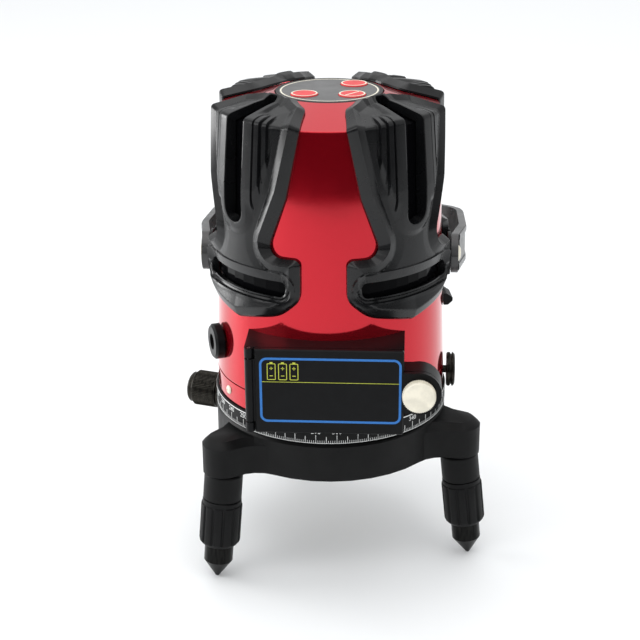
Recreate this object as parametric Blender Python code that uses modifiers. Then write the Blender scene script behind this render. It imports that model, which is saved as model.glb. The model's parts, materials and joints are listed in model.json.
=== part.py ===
"""Laser level: a drum-shaped turret that turns on a graduated base with three screw feet.

Metres, +Z up. The origin is the plumb point, on the turning axis at the level of the foot tips.
The front of the turret, with the battery door, faces -Y.
"""
import math

import bmesh
import bpy
from mathutils import Matrix, Vector

# Clearances
GAP = 0.0003
TURN_GAP = 0.0004
THREAD_SLACK = 0.0006

# Mesh settings: steps round a circle or an arc, and joining distances
SHELL_STEPS = 40
ROUND_STEPS = 24
SMALL_STEPS = 12
LOBE_STEPS = 8
BEND_STEPS = 5
BLEND_STEPS = 4
ARC_STEPS = 3
PANE_STEPS = 2
WELD_DISTANCE = 0.000002
TURN_MERGE = 0.00001
BISECT_SNAP = 0.00002
HALVE_SNAP = 0.0000001
FLAT_ANGLE = 0.1
SHARP_ANGLE = 35.0
BUMPER_SHARP_ANGLE = 30.0
STRAIGHT_ANGLE = 178.0
EMPTY_SIZE = 0.0100
FULL_ROUND = 0.97

# Legs, measured along the leg from the foot tip
LEG_AZIMUTHS = {"right": -17.0, "left": -137.0, "rear": 103.0}
LEG_SPLAY = 6.4
LEG_SPREAD = 0.0149
TIP_FLAT = 0.0008
CONE_LENGTH = 0.0082
STUD_RADIUS = 0.0064
STUD_SHOWN = 0.0080
STUD_ENGAGED = 0.0040
ROD_RADIUS = 0.0046
ROD_LENGTH = 0.0188
FOOT_TRAVEL = 0.0060
WHEEL_RADIUS = 0.0091
WHEEL_LENGTH = 0.0218
WHEEL_FLUTES = 12
FLUTE_WIDTH = 0.0011
FLUTE_DEPTH = 0.0007
WHEEL_CHAMFER = 0.0016
WHEEL_TOP_CHAMFER = 0.0004
SLEEVE_RADIUS = 0.0085
SLEEVE_LENGTH = 0.0121
SPIGOT_RADIUS = 0.0062
SPIGOT_LENGTH = 0.0080

# Base
DRUM_RADIUS = 0.0520
DRUM_HEIGHT = 0.0177
DRUM_WALL = 0.0070
DRUM_EDGE = 0.0012
FLOOR_THICKNESS = 0.0040
LOBE_RADIUS = 0.0093
LOBE_HEIGHT = 0.0162
LOBE_BLEND = 0.0140
LOBE_EDGE = 0.0030
RING_WALL = 0.0030
RING_HEIGHT = 0.0086
RING_EDGE = 0.0005
NECK_DROP = 0.0009
SEAT_RADIUS = 0.0240
SEAT_PROUD = 0.0010
HUB_RADIUS = 0.0160
HUB_DROP = 0.0016
INSERT_RADIUS = 0.0130
INSERT_LENGTH = 0.0102
TRIPOD_BORE_RADIUS = 0.00794
SPINDLE_RADIUS = 0.0080
SPINDLE_BORE_RADIUS = 0.0050
BUSH_WALL = 0.0030
BUSH_FLANGE_RADIUS = 0.0145
NUT_RADIUS = 0.0124
NUT_HEIGHT = 0.0034

# Fine-turning drive
FINE_AZIMUTH = 163.0
FINE_HEIGHT = 0.0112
FINE_KNOB_RADIUS = 0.0083
FINE_KNOB_LENGTH = 0.0150
FINE_EDGE = 0.0005
FINE_COLLAR_RADIUS = 0.0073
FINE_COLLAR_LENGTH = 0.0028
FINE_SHAFT_RADIUS = 0.0025
ROLLER_RADIUS = 0.0060
ROLLER_WIDTH = 0.0040
TRACK_INSET = 0.0065
TRACK_WIDTH = 0.0050
POST_RADIUS = 0.0290
POST_DEPTH = 0.0040
POST_WIDTH = 0.0100

# Turret body
BODY_STEP = 0.0010
BAND_HEIGHT = 0.0092
BAND_WALL = 0.0023
PLATE_THICKNESS = 0.0025
SPINDLE_FLANGE_RADIUS = 0.0130
SPINDLE_FLANGE = 0.0020
SHELL_HEIGHT = 0.1167
WALL_LEAN = 0.0040
CONE_RISE = 0.0062
SHELL_WALL = 0.0022

# Keypad
KEYPAD_RADIUS = 0.0228
KEYPAD_THICKNESS = 0.0016
KEYPAD_LEDGE = 0.0010
LEDGE_THICKNESS = 0.0013
KEYPAD_POST_RADIUS = 0.0035
BOARD_RADIUS = 0.0180
BOARD_THICKNESS = 0.0016
KEY_RADIUS = 0.0058
KEY_PROUD = 0.0006
KEY_TRAVEL = 0.0008
KEY_FLANGE = 0.0007
KEY_FLANGE_LIP = 0.0006
KEY_OFFSET_X = 0.0100
KEY_FRONT_Y = -0.0087
KEY_REAR_Y = 0.0112

# Corner bumpers: angles from the middle of a bumper, heights over the lower edge of the shell
BUMPER_AZIMUTHS = {
    "front_left": -135.0,
    "front_right": -45.0,
    "rear_right": 45.0,
    "rear_left": 135.0,
}
SKIN_REFERENCE = 0.0500
STRIP_DEGREES = 7.5
JAW_TIP = 0.0334
JAW_SIDE_ANGLE = 24.0
JAW_SIDE = 0.0392
JAW_CORNER = 0.0455
JAW_ANGLE = 34.0
JAW_TOP = 0.0630
JAW_FILLET = 0.0060
JAW_TOP_FILLET = 0.0035
NECK_ANGLE = 16.6
NECK_FILLET = 0.0050
SHOULDER_ANGLE = 33.8
CROWN_ANGLE = 30.5
CROWN_RADIUS = 0.0310
CROWN_FILLET = 0.0050
END_ANGLE = 16.0
END_RADIUS = 0.0246
FLANK_HEIGHT = 0.0026
FLANK_CHAMFER = 0.0015
FLANK_WIDTH = 0.0032
FACE_HEIGHT = 0.0041
FACE_CHAMFER = 0.0013
LIP_HEIGHT = 0.0050
LIP_CHAMFER = 0.0009
LIP_WIDTH = 0.0030
FIN_HEIGHT = 0.0064
FIN_STEP = 0.0007
FIN_WIDTH = 0.0050
TERRACE_WIDTH = 0.0030
TERRACE_RISE = 0.0080
FIN_COUNT = 3
FIN_ROUND = 0.8
LIFT_KINK = 0.0882
LIFT_AT_SHOULDER = 0.72
UPRIGHT_SLOT_HALF = 0.0049
UPRIGHT_SLOT_FOOT = 0.0737
UPRIGHT_SLOT_TOP_RADIUS = 0.0285
LEVEL_SLOT_ANGLE = 27.6
LEVEL_SLOT_HEIGHT = 0.0497
LEVEL_SLOT_OPENING = 0.0066
LEVEL_SLOT_ROUND = 0.8
PANE_THICKNESS = 0.0016
PANE_MARGIN = 0.0017

# Battery box
BOX_LEFT = -0.0325
BOX_RIGHT = 0.0335
BOX_HEIGHT = 0.0378
BOX_LIFT = 0.0004
BOX_FRONT = -0.0602
BOX_WALL = 0.0020
BOX_FLOOR = 0.0042
DOOR_THICKNESS = 0.0024
DOOR_CORNER = 0.0010
DOOR_CHAMFER = 0.0005
BARREL_RADIUS = 0.0019
BARREL_LUG = 0.0045
PIN_RADIUS = 0.0008
EAR_RADIUS = 0.0094
EAR_REACH = 0.0063
EAR_HEIGHT = 0.0190
EAR_DEPTH = 0.0100
THUMB_RADIUS = 0.0070
THUMB_THICKNESS = 0.0040
THUMB_EDGE = 0.0005
THUMB_SHAFT_RADIUS = 0.0020
THUMB_REACH = 0.0050
CELL_RADIUS = 0.00725
CELL_LENGTH = 0.0505
CELL_STACK_ANGLE = 60.0
CONTACT_THICKNESS = 0.0010

# Side fittings
SOCKET_AZIMUTH = -158.0
SOCKET_HEIGHT = 0.0152
SOCKET_RADIUS = 0.0079
SOCKET_PROUD = 0.0040
SOCKET_EDGE = 0.0010
SOCKET_SPIGOT_RADIUS = 0.0052
SOCKET_BORE_RADIUS = 0.0036
SIDE_KNOB_RADIUS = 0.0077
SIDE_KNOB_THICKNESS = 0.0038
SIDE_KNOB_GROOVE = 0.0006
SIDE_KNOB_LOWER = 0.0018
SIDE_SHAFT_RADIUS = 0.0017
SWITCH_SIZE = 0.0110
SWITCH_DEPTH = 0.0090
COVER_AZIMUTH = 8.0
COVER_HEIGHT = 0.0280
COVER_WIDTH = 0.0100
COVER_TALL = 0.0056
COVER_PROUD = 0.0040
COVER_EDGE = 0.0010

# Handle
PIVOT_HEIGHT = 0.0507
PAD_RADIUS = 0.0095
PAD_DISC = 0.0014
PAD_NECK_RADIUS = 0.0062
PAD_STANDOFF = 0.0018
BAIL_HEIGHT = 0.0172
BAIL_THICKNESS = 0.0030
BAIL_WEB = 0.0012
BAIL_HUB_RADIUS = 0.0078
BAIL_SPOT_RADIUS = 0.0062
BAIL_FLARE = 0.0042
BAIL_FLARE_START = -0.0010
BAIL_FLARE_LENGTH = 0.0260
BAIL_NEAR_BEND = 0.0200
BAIL_FAR_BEND = 0.0300
BAIL_REACH = 0.0883
BAIL_CORNER = 0.0240
BAIL_REST = -8.5
PIVOT_SCREW_RADIUS = 0.0020
PIVOT_WASHER_RADIUS = 0.0055
PIVOT_WASHER = 0.0008
PIVOT_HEAD_RADIUS = 0.0038
PIVOT_HEAD = 0.0022
PIVOT_HEAD_EDGE = 0.0004

# Levelling unit
GIMBAL_HEIGHT = 0.0650
FRAME_OUTER = 0.0380
FRAME_INNER = 0.0290
FRAME_THICKNESS = 0.0040
COLUMN_RADIUS = 0.0035
COLUMN_X = 0.0310
COLUMN_Y = 0.0140
CHEEK_X = 0.0335
CHEEK_THICKNESS = 0.0030
CHEEK_WIDTH = 0.0080
RING_OUTER = 0.0260
RING_INNER = 0.0220
RING_DEPTH = 0.0050
TRUNNION_RADIUS = 0.0015
HEART_RADIUS = 0.0170
HEART_DEPTH = 0.0080
POST_HALF = 0.0090
POST_RISE = 0.0330
STEM_RADIUS = 0.0070
BOB_DROP = 0.0480
BOB_HEIGHT = 0.0120
BOB_RADIUS = 0.0160
MODULE_RADIUS = 0.0050
MODULE_LENGTH = 0.0160
MODULE_RISE = 0.0250

# Heights that follow from the sizes above
SPLAY = math.radians(LEG_SPLAY)
TIP_CIRCLE = DRUM_RADIUS + LEG_SPREAD
STUD_HIDDEN = FOOT_TRAVEL + STUD_ENGAGED
WHEEL_FOOT = CONE_LENGTH + STUD_SHOWN
WHEEL_TOP = WHEEL_FOOT + WHEEL_LENGTH
SLEEVE_FOOT = WHEEL_TOP + GAP
SLEEVE_TOP = SLEEVE_FOOT + SLEEVE_LENGTH
UNDERSIDE = SLEEVE_TOP * math.cos(SPLAY) + SLEEVE_RADIUS * math.sin(SPLAY) + GAP
SEAT_FACE = UNDERSIDE - SEAT_PROUD
FLOOR_TOP = UNDERSIDE + FLOOR_THICKNESS
DRUM_TOP = UNDERSIDE + DRUM_HEIGHT
RING_TOP = DRUM_TOP + GAP + RING_HEIGHT
TRACK_RADIUS = DRUM_RADIUS - DRUM_WALL - TRACK_INSET
BODY_RADIUS = DRUM_RADIUS - BODY_STEP
SHOULDER_RADIUS = BODY_RADIUS - WALL_LEAN
PAD_FACE = BODY_RADIUS + PAD_STANDOFF
NECK_TOP = RING_TOP - NECK_DROP
BAND_FOOT = RING_TOP + TURN_GAP
BAND_TOP = BAND_FOOT + BAND_HEIGHT
PLATE_TOP = BAND_FOOT + PLATE_THICKNESS
SHELL_FOOT = BAND_TOP + GAP
SHOULDER = SHELL_FOOT + SHELL_HEIGHT
SHELL_TOP = SHOULDER + CONE_RISE
SHELL_TOP_RADIUS = KEYPAD_RADIUS + GAP
HUB_TOP = NECK_TOP - HUB_DROP
NUT_FOOT = SEAT_FACE + INSERT_LENGTH + GAP
NUT_TOP = NUT_FOOT + NUT_HEIGHT
LOBE_CIRCLE = TIP_CIRCLE - UNDERSIDE * math.tan(SPLAY)
FINE_Z = UNDERSIDE + FINE_HEIGHT
PIVOT_Z = SHELL_FOOT + PIVOT_HEIGHT
GIMBAL_Z = SHELL_FOOT + GIMBAL_HEIGHT
BOX_FOOT = BAND_FOOT + BOX_LIFT
BOX_TOP = BOX_FOOT + BOX_HEIGHT
TRAY_FRONT = BOX_FRONT + DOOR_THICKNESS + GAP
BARREL_X = BOX_LEFT + BARREL_RADIUS
BARREL_Y = BOX_FRONT + BARREL_RADIUS
EAR_X = BOX_RIGHT + EAR_REACH
EAR_Z = BOX_FOOT + EAR_HEIGHT

for leftover in list(bpy.data.objects):
    bpy.data.objects.remove(leftover, do_unlink=True)


def new_collection(name):
    """A collection under the scene."""
    made = bpy.data.collections.new(name)
    bpy.context.scene.collection.children.link(made)
    return made


PARTS = new_collection("laser_level")
TOOLS = new_collection("cutters_and_guides")


def material(name, colour, roughness, metallic=0.0):
    """A Principled material of one colour."""
    made = bpy.data.materials.new(name)
    made.use_nodes = True
    shader = made.node_tree.nodes["Principled BSDF"]
    shader.inputs["Base Color"].default_value = (*colour, 1.0)
    shader.inputs["Roughness"].default_value = roughness
    shader.inputs["Metallic"].default_value = metallic
    return made


RED = material("red_lacquer", (0.50, 0.006, 0.022), 0.22)
BLACK = material("black_rubber_plastic", (0.018, 0.019, 0.020), 0.42)
BASE_BLACK = material("base_black", (0.012, 0.012, 0.013), 0.5)
STEEL_DARK = material("dark_metal", (0.06, 0.055, 0.05), 0.35, 0.9)
BRASS = material("brass", (0.65, 0.50, 0.24), 0.3, 1.0)
CREAM = material("cream_metal", (0.86, 0.82, 0.70), 0.3, 0.2)
GREY = material("keypad_grey", (0.16, 0.16, 0.16), 0.45)
GLASS = material("dark_window", (0.02, 0.02, 0.025), 0.08)
STEEL = material("steel", (0.55, 0.55, 0.56), 0.3, 1.0)
GREEN = material("board_green", (0.02, 0.16, 0.07), 0.4)
CELL = material("cell_jacket", (0.05, 0.10, 0.30), 0.35)
COPPER = material("pendulum_metal", (0.62, 0.36, 0.20), 0.35, 1.0)


def along(origin, direction):
    """A placement with its own Z axis along a direction."""
    turn = Vector(direction).to_track_quat("Z", "Y").to_matrix().to_4x4()
    return Matrix.Translation(origin) @ turn


def outward(azimuth):
    """The level unit vector at an azimuth in degrees, counted from +X."""
    angle = math.radians(azimuth)
    return Vector((math.cos(angle), math.sin(angle), 0.0))


def body(name, place=Matrix.Identity(4), carrier=None):
    """An empty that carries the pieces of one rigid body."""
    holder = bpy.data.objects.new(name, None)
    PARTS.objects.link(holder)
    holder.empty_display_size = EMPTY_SIZE
    holder["place"] = [value for row in place for value in row]
    holder.parent = carrier
    holder.matrix_basis = body_place(carrier).inverted() @ place
    return holder


def body_place(holder):
    """The placement of a body's empty in the model."""
    if holder is None:
        return Matrix.Identity(4)
    flat = list(holder["place"])
    return Matrix([flat[row * 4:row * 4 + 4] for row in range(4)])


def piece(name, mesh, look, carrier, place=Matrix.Identity(4)):
    """A named part on a body."""
    made = bpy.data.objects.new(name, mesh)
    PARTS.objects.link(made)
    mesh.materials.append(look)
    made.parent = carrier
    made.matrix_basis = body_place(carrier).inverted() @ place
    return made


def tool(name, mesh, place=Matrix.Identity(4)):
    """A hidden solid that cuts or is joined to a part."""
    made = bpy.data.objects.new(name, mesh)
    TOOLS.objects.link(made)
    made.matrix_basis = place
    made.hide_render = True
    made.display_type = "WIRE"
    return made


def boolean(target, other, operation, solver="EXACT"):
    """A Boolean modifier that works on a part with a hidden solid."""
    change = target.modifiers.new(other.name, "BOOLEAN")
    change.operation = operation
    change.object = other
    change.solver = solver


def cut(target, *tools, solver="EXACT"):
    """Take hidden solids away from a part."""
    for other in tools:
        boolean(target, other, "DIFFERENCE", solver)


def join(target, *tools, solver="EXACT"):
    """Add hidden solids to a part."""
    for other in tools:
        boolean(target, other, "UNION", solver)


def evaluated_mesh(holder):
    """The mesh of an object with its modifiers carried out."""
    bpy.context.view_layer.update()
    graph = bpy.context.evaluated_depsgraph_get()
    return bpy.data.meshes.new_from_object(holder.evaluated_get(graph))


def discard(holder):
    """Remove a working object."""
    bpy.data.objects.remove(holder, do_unlink=True)


def smooth(mesh, degrees=SHARP_ANGLE):
    """Smooth shading with sharp edges over an angle."""
    mesh.shade_smooth()
    mesh.set_sharp_from_angle(angle=math.radians(degrees))


def turned(profile, steps=ROUND_STEPS, closed=True):
    """A mesh turned about Z from (radius, height) points that run down the outer side."""
    outline = bpy.data.meshes.new("profile")
    points = [(radius, 0.0, height) for radius, height in profile]
    edges = [(index, index + 1) for index in range(len(points) - 1)]
    if closed:
        edges.append((len(points) - 1, 0))
    outline.from_pydata(points, edges, [])
    holder = bpy.data.objects.new("profile", outline)
    bpy.context.scene.collection.objects.link(holder)
    screw = holder.modifiers.new("turn", "SCREW")
    screw.steps = steps
    screw.render_steps = steps
    screw.use_merge_vertices = True
    screw.merge_threshold = TURN_MERGE
    made = evaluated_mesh(holder)
    discard(holder)
    weld(made)
    smooth(made)
    return made


def weld(mesh, distance=WELD_DISTANCE):
    """Join doubled points and turn all faces outward."""
    work = bmesh.new()
    work.from_mesh(mesh)
    bmesh.ops.remove_doubles(work, verts=work.verts, dist=distance)
    bmesh.ops.recalc_face_normals(work, faces=work.faces)
    work.to_mesh(mesh)
    work.free()


def rod(radius, low, high, steps=SMALL_STEPS):
    """A plain round bar along Z."""
    return turned([(0.0, high), (radius, high), (radius, low), (0.0, low)], steps, closed=False)


def tube(inner, outer, low, high, steps=ROUND_STEPS):
    """A plain tube along Z."""
    return turned([(inner, high), (outer, high), (outer, low), (inner, low)], steps)


def block(low, high):
    """A box between two corners."""
    work = bmesh.new()
    bmesh.ops.create_cube(work, size=1.0)
    size = [top - bottom for bottom, top in zip(low, high)]
    middle = [(top + bottom) / 2 for bottom, top in zip(low, high)]
    bmesh.ops.scale(work, vec=size, verts=work.verts)
    bmesh.ops.translate(work, vec=middle, verts=work.verts)
    made = bpy.data.meshes.new("block")
    work.to_mesh(made)
    work.free()
    return made


def rounded(corners, steps=ARC_STEPS):
    """An outline from (x, y, radius) corners, with an arc in place of each corner."""
    outline = []
    count = len(corners)
    for index, (x, y, radius) in enumerate(corners):
        here = Vector((x, y))
        back = (Vector(corners[index - 1][:2]) - here).normalized()
        ahead = (Vector(corners[(index + 1) % count][:2]) - here).normalized()
        half = back.angle(ahead) / 2
        if radius <= 0.0 or half > math.radians(STRAIGHT_ANGLE) / 2:
            outline.append(here)
            continue
        centre = here + (back + ahead).normalized() * radius / math.sin(half)
        start = here + back * radius / math.tan(half) - centre
        sweep = start.angle_signed(here + ahead * radius / math.tan(half) - centre)
        for step in range(steps + 1):
            outline.append(centre + Matrix.Rotation(-sweep * step / steps, 2) @ start)
    return outline


def inset(corners, distance):
    """The corners of an outline that runs anticlockwise, moved inward."""
    moved = []
    count = len(corners)
    for index, (x, y, radius) in enumerate(corners):
        here = Vector((x, y))
        before = (here - Vector(corners[index - 1][:2])).normalized()
        after = (Vector(corners[(index + 1) % count][:2]) - here).normalized()
        inward = Vector((-before.y, before.x)) + Vector((-after.y, after.x))
        turn = before.cross(after)
        place = here + inward * distance / (1.0 + before.dot(after))
        inner = radius - distance if turn > 0.0 else radius + distance
        moved.append((place.x, place.y, max(inner, distance / 3)))
    return moved


def prism(outlines, depth, chamfer=0.0):
    """A flat outline, with holes, raised from Z = 0 and chamfered at its top."""
    drawing = bpy.data.curves.new("outline", "CURVE")
    drawing.dimensions = "2D"
    drawing.fill_mode = "BOTH"
    drawing.extrude = depth - chamfer
    drawing.bevel_depth = chamfer
    drawing.bevel_resolution = 0
    drawing.offset = -chamfer
    for outline in outlines:
        spline = drawing.splines.new("POLY")
        spline.points.add(len(outline) - 1)
        for point, (x, y) in zip(spline.points, outline):
            point.co = (x, y, 0.0, 1.0)
        spline.use_cyclic_u = True
    holder = bpy.data.objects.new("outline", drawing)
    bpy.context.scene.collection.objects.link(holder)
    made = evaluated_mesh(holder)
    discard(holder)
    weld(made)
    halve(made)
    return made


def halve(mesh):
    """Keep what lies above Z = 0 and close it there."""
    work = bmesh.new()
    work.from_mesh(mesh)
    everything = work.verts[:] + work.edges[:] + work.faces[:]
    bmesh.ops.bisect_plane(
        work, geom=everything, dist=HALVE_SNAP, plane_co=(0, 0, 0), plane_no=(0, 0, 1), clear_inner=True
    )
    rim = [edge for edge in work.edges if edge.is_boundary]
    bmesh.ops.triangle_fill(work, edges=rim, use_beauty=True, use_dissolve=True)
    bmesh.ops.recalc_face_normals(work, faces=work.faces)
    work.to_mesh(mesh)
    work.free()


def shifted(mesh, height):
    """Move a mesh up."""
    mesh.transform(Matrix.Translation((0, 0, height)))
    return mesh


# The skin of the shell, followed by the bumpers and panes.
# A flat drawing on it has u = angle times SKIN_REFERENCE, v = length up the wall and over the cone.
WALL_RUN = math.hypot(SHELL_HEIGHT, BODY_RADIUS - SHOULDER_RADIUS)
CONE_RUN = math.hypot(CONE_RISE, SHOULDER_RADIUS - SHELL_TOP_RADIUS)
WALL_NORMAL = Vector((SHELL_HEIGHT, BODY_RADIUS - SHOULDER_RADIUS)).normalized()
CONE_NORMAL = Vector((CONE_RISE, SHOULDER_RADIUS - SHELL_TOP_RADIUS)).normalized()
MITRE = (WALL_NORMAL + CONE_NORMAL) / (1.0 + WALL_NORMAL.dot(CONE_NORMAL))
SKIN_FOOT = Vector((BODY_RADIUS, SHELL_FOOT))
SKIN_CORNER = Vector((SHOULDER_RADIUS, SHOULDER))
SKIN_END = Vector((SHELL_TOP_RADIUS, SHELL_TOP))


def wall_radius(height):
    """The radius of the skin at a height over the foot of the shell."""
    return BODY_RADIUS - height * (BODY_RADIUS - SHOULDER_RADIUS) / SHELL_HEIGHT


def wall_v(height):
    """The drawing's v for a height over the foot of the shell."""
    return height / SHELL_HEIGHT * WALL_RUN


def cone_v(radius):
    """The drawing's v for a radius on the cone."""
    return WALL_RUN + (SHOULDER_RADIUS - radius) / (SHOULDER_RADIUS - SHELL_TOP_RADIUS) * CONE_RUN


def angle_u(degrees):
    """The drawing's u for an angle from the middle of a bumper."""
    return math.radians(degrees) * SKIN_REFERENCE


def lift(v):
    """How far the drawing's heights are kept: less towards the shoulder."""
    kink = wall_v(LIFT_KINK)
    share = min(max((v - kink) / (WALL_RUN - kink), 0.0), 1.0)
    return 1.0 - (1.0 - LIFT_AT_SHOULDER) * share


def on_skin(u, v, height, azimuth):
    """The point of the model for a point of the flat drawing."""
    if v <= WALL_RUN:
        share = v / WALL_RUN
        spot = SKIN_FOOT.lerp(SKIN_CORNER, share)
        normal = WALL_NORMAL.lerp(MITRE, share)
    else:
        share = (v - WALL_RUN) / CONE_RUN
        spot = SKIN_CORNER.lerp(SKIN_END, share)
        normal = MITRE.lerp(CONE_NORMAL, share)
    radius, level = spot + normal * height
    angle = math.radians(azimuth) + u / SKIN_REFERENCE
    return Vector((radius * math.cos(angle), radius * math.sin(angle), level))


def wrap(flat, azimuth, lifted=True):
    """Bend a flat solid round the skin of the shell."""
    work = bmesh.new()
    work.from_mesh(flat)
    flat_limit = math.radians(FLAT_ANGLE)
    bmesh.ops.dissolve_limit(work, angle_limit=flat_limit, verts=work.verts, edges=work.edges)
    widest = max(abs(vert.co.x) for vert in work.verts)
    strip = angle_u(STRIP_DEGREES)
    count = int(widest / strip)
    lines = [((index * strip, 0, 0), (1, 0, 0)) for index in range(-count, count + 1)]
    lines += [((0, wall_v(LIFT_KINK), 0), (0, 1, 0)), ((0, WALL_RUN, 0), (0, 1, 0))]
    for spot, normal in lines:
        everything = work.verts[:] + work.edges[:] + work.faces[:]
        bmesh.ops.bisect_plane(work, geom=everything, dist=BISECT_SNAP, plane_co=spot, plane_no=normal)
    for vert in work.verts:
        u, v, height = vert.co
        raised = GAP + (height - GAP) * lift(v) if lifted else height
        vert.co = on_skin(u, v, raised, azimuth)
    bmesh.ops.triangulate(work, faces=work.faces)
    bmesh.ops.recalc_face_normals(work, faces=work.faces)
    made = bpy.data.meshes.new("wrapped")
    work.to_mesh(made)
    work.free()
    smooth(made, BUMPER_SHARP_ANGLE)
    return made


def mirrored(half):
    """Both sides of an outline drawn from its middle up the right side."""
    left = [(-x, y, radius) for x, y, radius in reversed(half) if x > 0.0]
    return half + left


def united(meshes):
    """One mesh from overlapping solids."""
    first = bpy.data.objects.new("united", meshes[0])
    bpy.context.scene.collection.objects.link(first)
    others = []
    for mesh in meshes[1:]:
        other = tool("layer", mesh)
        boolean(first, other, "UNION", "MANIFOLD")
        others.append(other)
    made = evaluated_mesh(first)
    for holder in [first, *others]:
        discard(holder)
    return made


def without(mesh, cutters):
    """A mesh with solids taken away."""
    first = bpy.data.objects.new("cut", mesh)
    bpy.context.scene.collection.objects.link(first)
    others = []
    for cutter in cutters:
        other = tool("slot", cutter)
        boolean(first, other, "DIFFERENCE", "MANIFOLD")
        others.append(other)
    made = evaluated_mesh(first)
    for holder in [first, *others]:
        discard(holder)
    return made


# Bodies
BASE = body("base")
TURRET = body("turret", carrier=BASE)


def build_base():
    """The base casting with its lobes, hub, cup and bearing post."""
    drum = [
        (0.0, NECK_TOP),
        (DRUM_RADIUS - RING_WALL - GAP, NECK_TOP),
        (DRUM_RADIUS - RING_WALL - GAP, DRUM_TOP),
        (DRUM_RADIUS - DRUM_EDGE, DRUM_TOP),
        (DRUM_RADIUS, DRUM_TOP - DRUM_EDGE),
        (DRUM_RADIUS, UNDERSIDE + 2 * GAP),
        (0.0, UNDERSIDE + 2 * GAP),
    ]
    base = piece("tripod_base", turned(drum, SHELL_STEPS, closed=False), BASE_BLACK, BASE)
    lobes = tool("lobes", shifted(prism([lobed_outline()], LOBE_HEIGHT, LOBE_EDGE), UNDERSIDE))
    seat = tool("tripod_seat", rod(SEAT_RADIUS, SEAT_FACE, FLOOR_TOP - GAP, ROUND_STEPS))
    join(base, lobes, seat, solver="MANIFOLD")
    cup = [
        (0.0, NECK_TOP + DRUM_EDGE),
        (DRUM_RADIUS - DRUM_WALL, NECK_TOP + DRUM_EDGE),
        (DRUM_RADIUS - DRUM_WALL, FLOOR_TOP),
        (HUB_RADIUS, FLOOR_TOP),
        (HUB_RADIUS, HUB_TOP),
        (0.0, HUB_TOP),
    ]
    bush_bore = SPINDLE_RADIUS + GAP + BUSH_WALL + GAP
    bore = [
        (0.0, NECK_TOP),
        (bush_bore, NECK_TOP),
        (bush_bore, NUT_TOP + GAP),
        (INSERT_RADIUS + GAP, NUT_TOP + GAP),
        (INSERT_RADIUS + GAP, SEAT_FACE - DRUM_EDGE),
        (0.0, SEAT_FACE - DRUM_EDGE),
    ]
    cup_tool = tool("cup", turned(cup, SHELL_STEPS, closed=False))
    bore_tool = tool("hub_bore", turned(bore, closed=False))
    cut(base, cup_tool, bore_tool, solver="MANIFOLD")
    fine = outward(FINE_AZIMUTH)
    turn = Matrix.Rotation(math.radians(FINE_AZIMUTH), 4, "Z")
    post = block(
        (POST_RADIUS - POST_DEPTH, -POST_WIDTH / 2, FLOOR_TOP - DRUM_EDGE),
        (POST_RADIUS, POST_WIDTH / 2, FINE_Z + FINE_SHAFT_RADIUS * 2),
    )
    join(base, tool("bearing_post", post, turn), solver="MANIFOLD")
    reach = DRUM_RADIUS + DRUM_EDGE
    shaft_hole = rod(FINE_SHAFT_RADIUS + GAP, POST_RADIUS - POST_DEPTH - DRUM_EDGE, reach)
    cut(base, tool("shaft_hole", shaft_hole, along((0, 0, FINE_Z), fine)), solver="MANIFOLD")
    for side, azimuth in LEG_AZIMUTHS.items():
        socket = rod(SPIGOT_RADIUS + GAP, SLEEVE_TOP - SPIGOT_LENGTH, SLEEVE_TOP + SPIGOT_LENGTH + GAP)
        cut(base, tool("leg_socket_" + side, socket, leg_place(azimuth)), solver="MANIFOLD")


def arc_points(centre, radius, start, sweep, steps):
    """Points on an arc, both ends included."""
    angles = [start + sweep * step / steps for step in range(steps + 1)]
    return [centre + radius * Vector((math.cos(angle), math.sin(angle))) for angle in angles]


def lobed_outline():
    """The plan of the base: a circle with three lobes and tangent hollows between."""
    outline = []
    turn = 2 * math.pi
    root = DRUM_RADIUS - 2 * GAP
    span = root + LOBE_BLEND
    reach = LOBE_RADIUS + LOBE_BLEND
    lean = math.acos((span ** 2 + LOBE_CIRCLE ** 2 - reach ** 2) / (2 * span * LOBE_CIRCLE))
    for azimuth in sorted(LEG_AZIMUTHS.values()):
        middle = math.radians(azimuth)
        lobe = LOBE_CIRCLE * Vector((math.cos(middle), math.sin(middle)))
        bearing = middle - lean
        pit = span * Vector((math.cos(bearing), math.sin(bearing)))
        to_drum = bearing + math.pi
        to_lobe = math.atan2(lobe.y - pit.y, lobe.x - pit.x)
        swing = (to_lobe - to_drum + math.pi) % turn - math.pi
        hollow = arc_points(pit, LOBE_BLEND, to_drum, swing, BLEND_STEPS)
        lobe_start = to_lobe + math.pi
        lobe_sweep = (2 * (middle - lobe_start)) % turn
        outline += hollow
        outline += arc_points(lobe, LOBE_RADIUS, lobe_start, lobe_sweep, LOBE_STEPS)[1:-1]
        across = Matrix(((math.cos(2 * middle), math.sin(2 * middle)),
                         (math.sin(2 * middle), -math.cos(2 * middle))))
        outline += [across @ point for point in reversed(hollow)]
        drum_sweep = turn / len(LEG_AZIMUTHS) - 2 * lean
        outline += arc_points(Vector((0, 0)), root, middle + lean, drum_sweep, LOBE_STEPS)[1:-1]
    return outline


def leg_place(azimuth):
    """The placement of a leg: its origin at the foot tip, its Z axis up the leg."""
    direction = outward(azimuth)
    tip = direction * TIP_CIRCLE
    up = Vector((0, 0, math.cos(SPLAY))) - direction * math.sin(SPLAY)
    return along(tip, up)


def build_legs():
    """Three legs, each a fixed sleeve, a levelling wheel and a screw foot."""
    for side, azimuth in LEG_AZIMUTHS.items():
        place = leg_place(azimuth)
        wheel_body = body("wheel_" + side, place, BASE)
        foot_body = body("foot_" + side, place, BASE)
        piece("leg_sleeve_" + side, sleeve_mesh(), BASE_BLACK, BASE, place)
        build_wheel("leg_wheel_" + side, wheel_body, place)
        piece("foot_stud_" + side, foot_mesh(), STEEL_DARK, foot_body, place)


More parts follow.
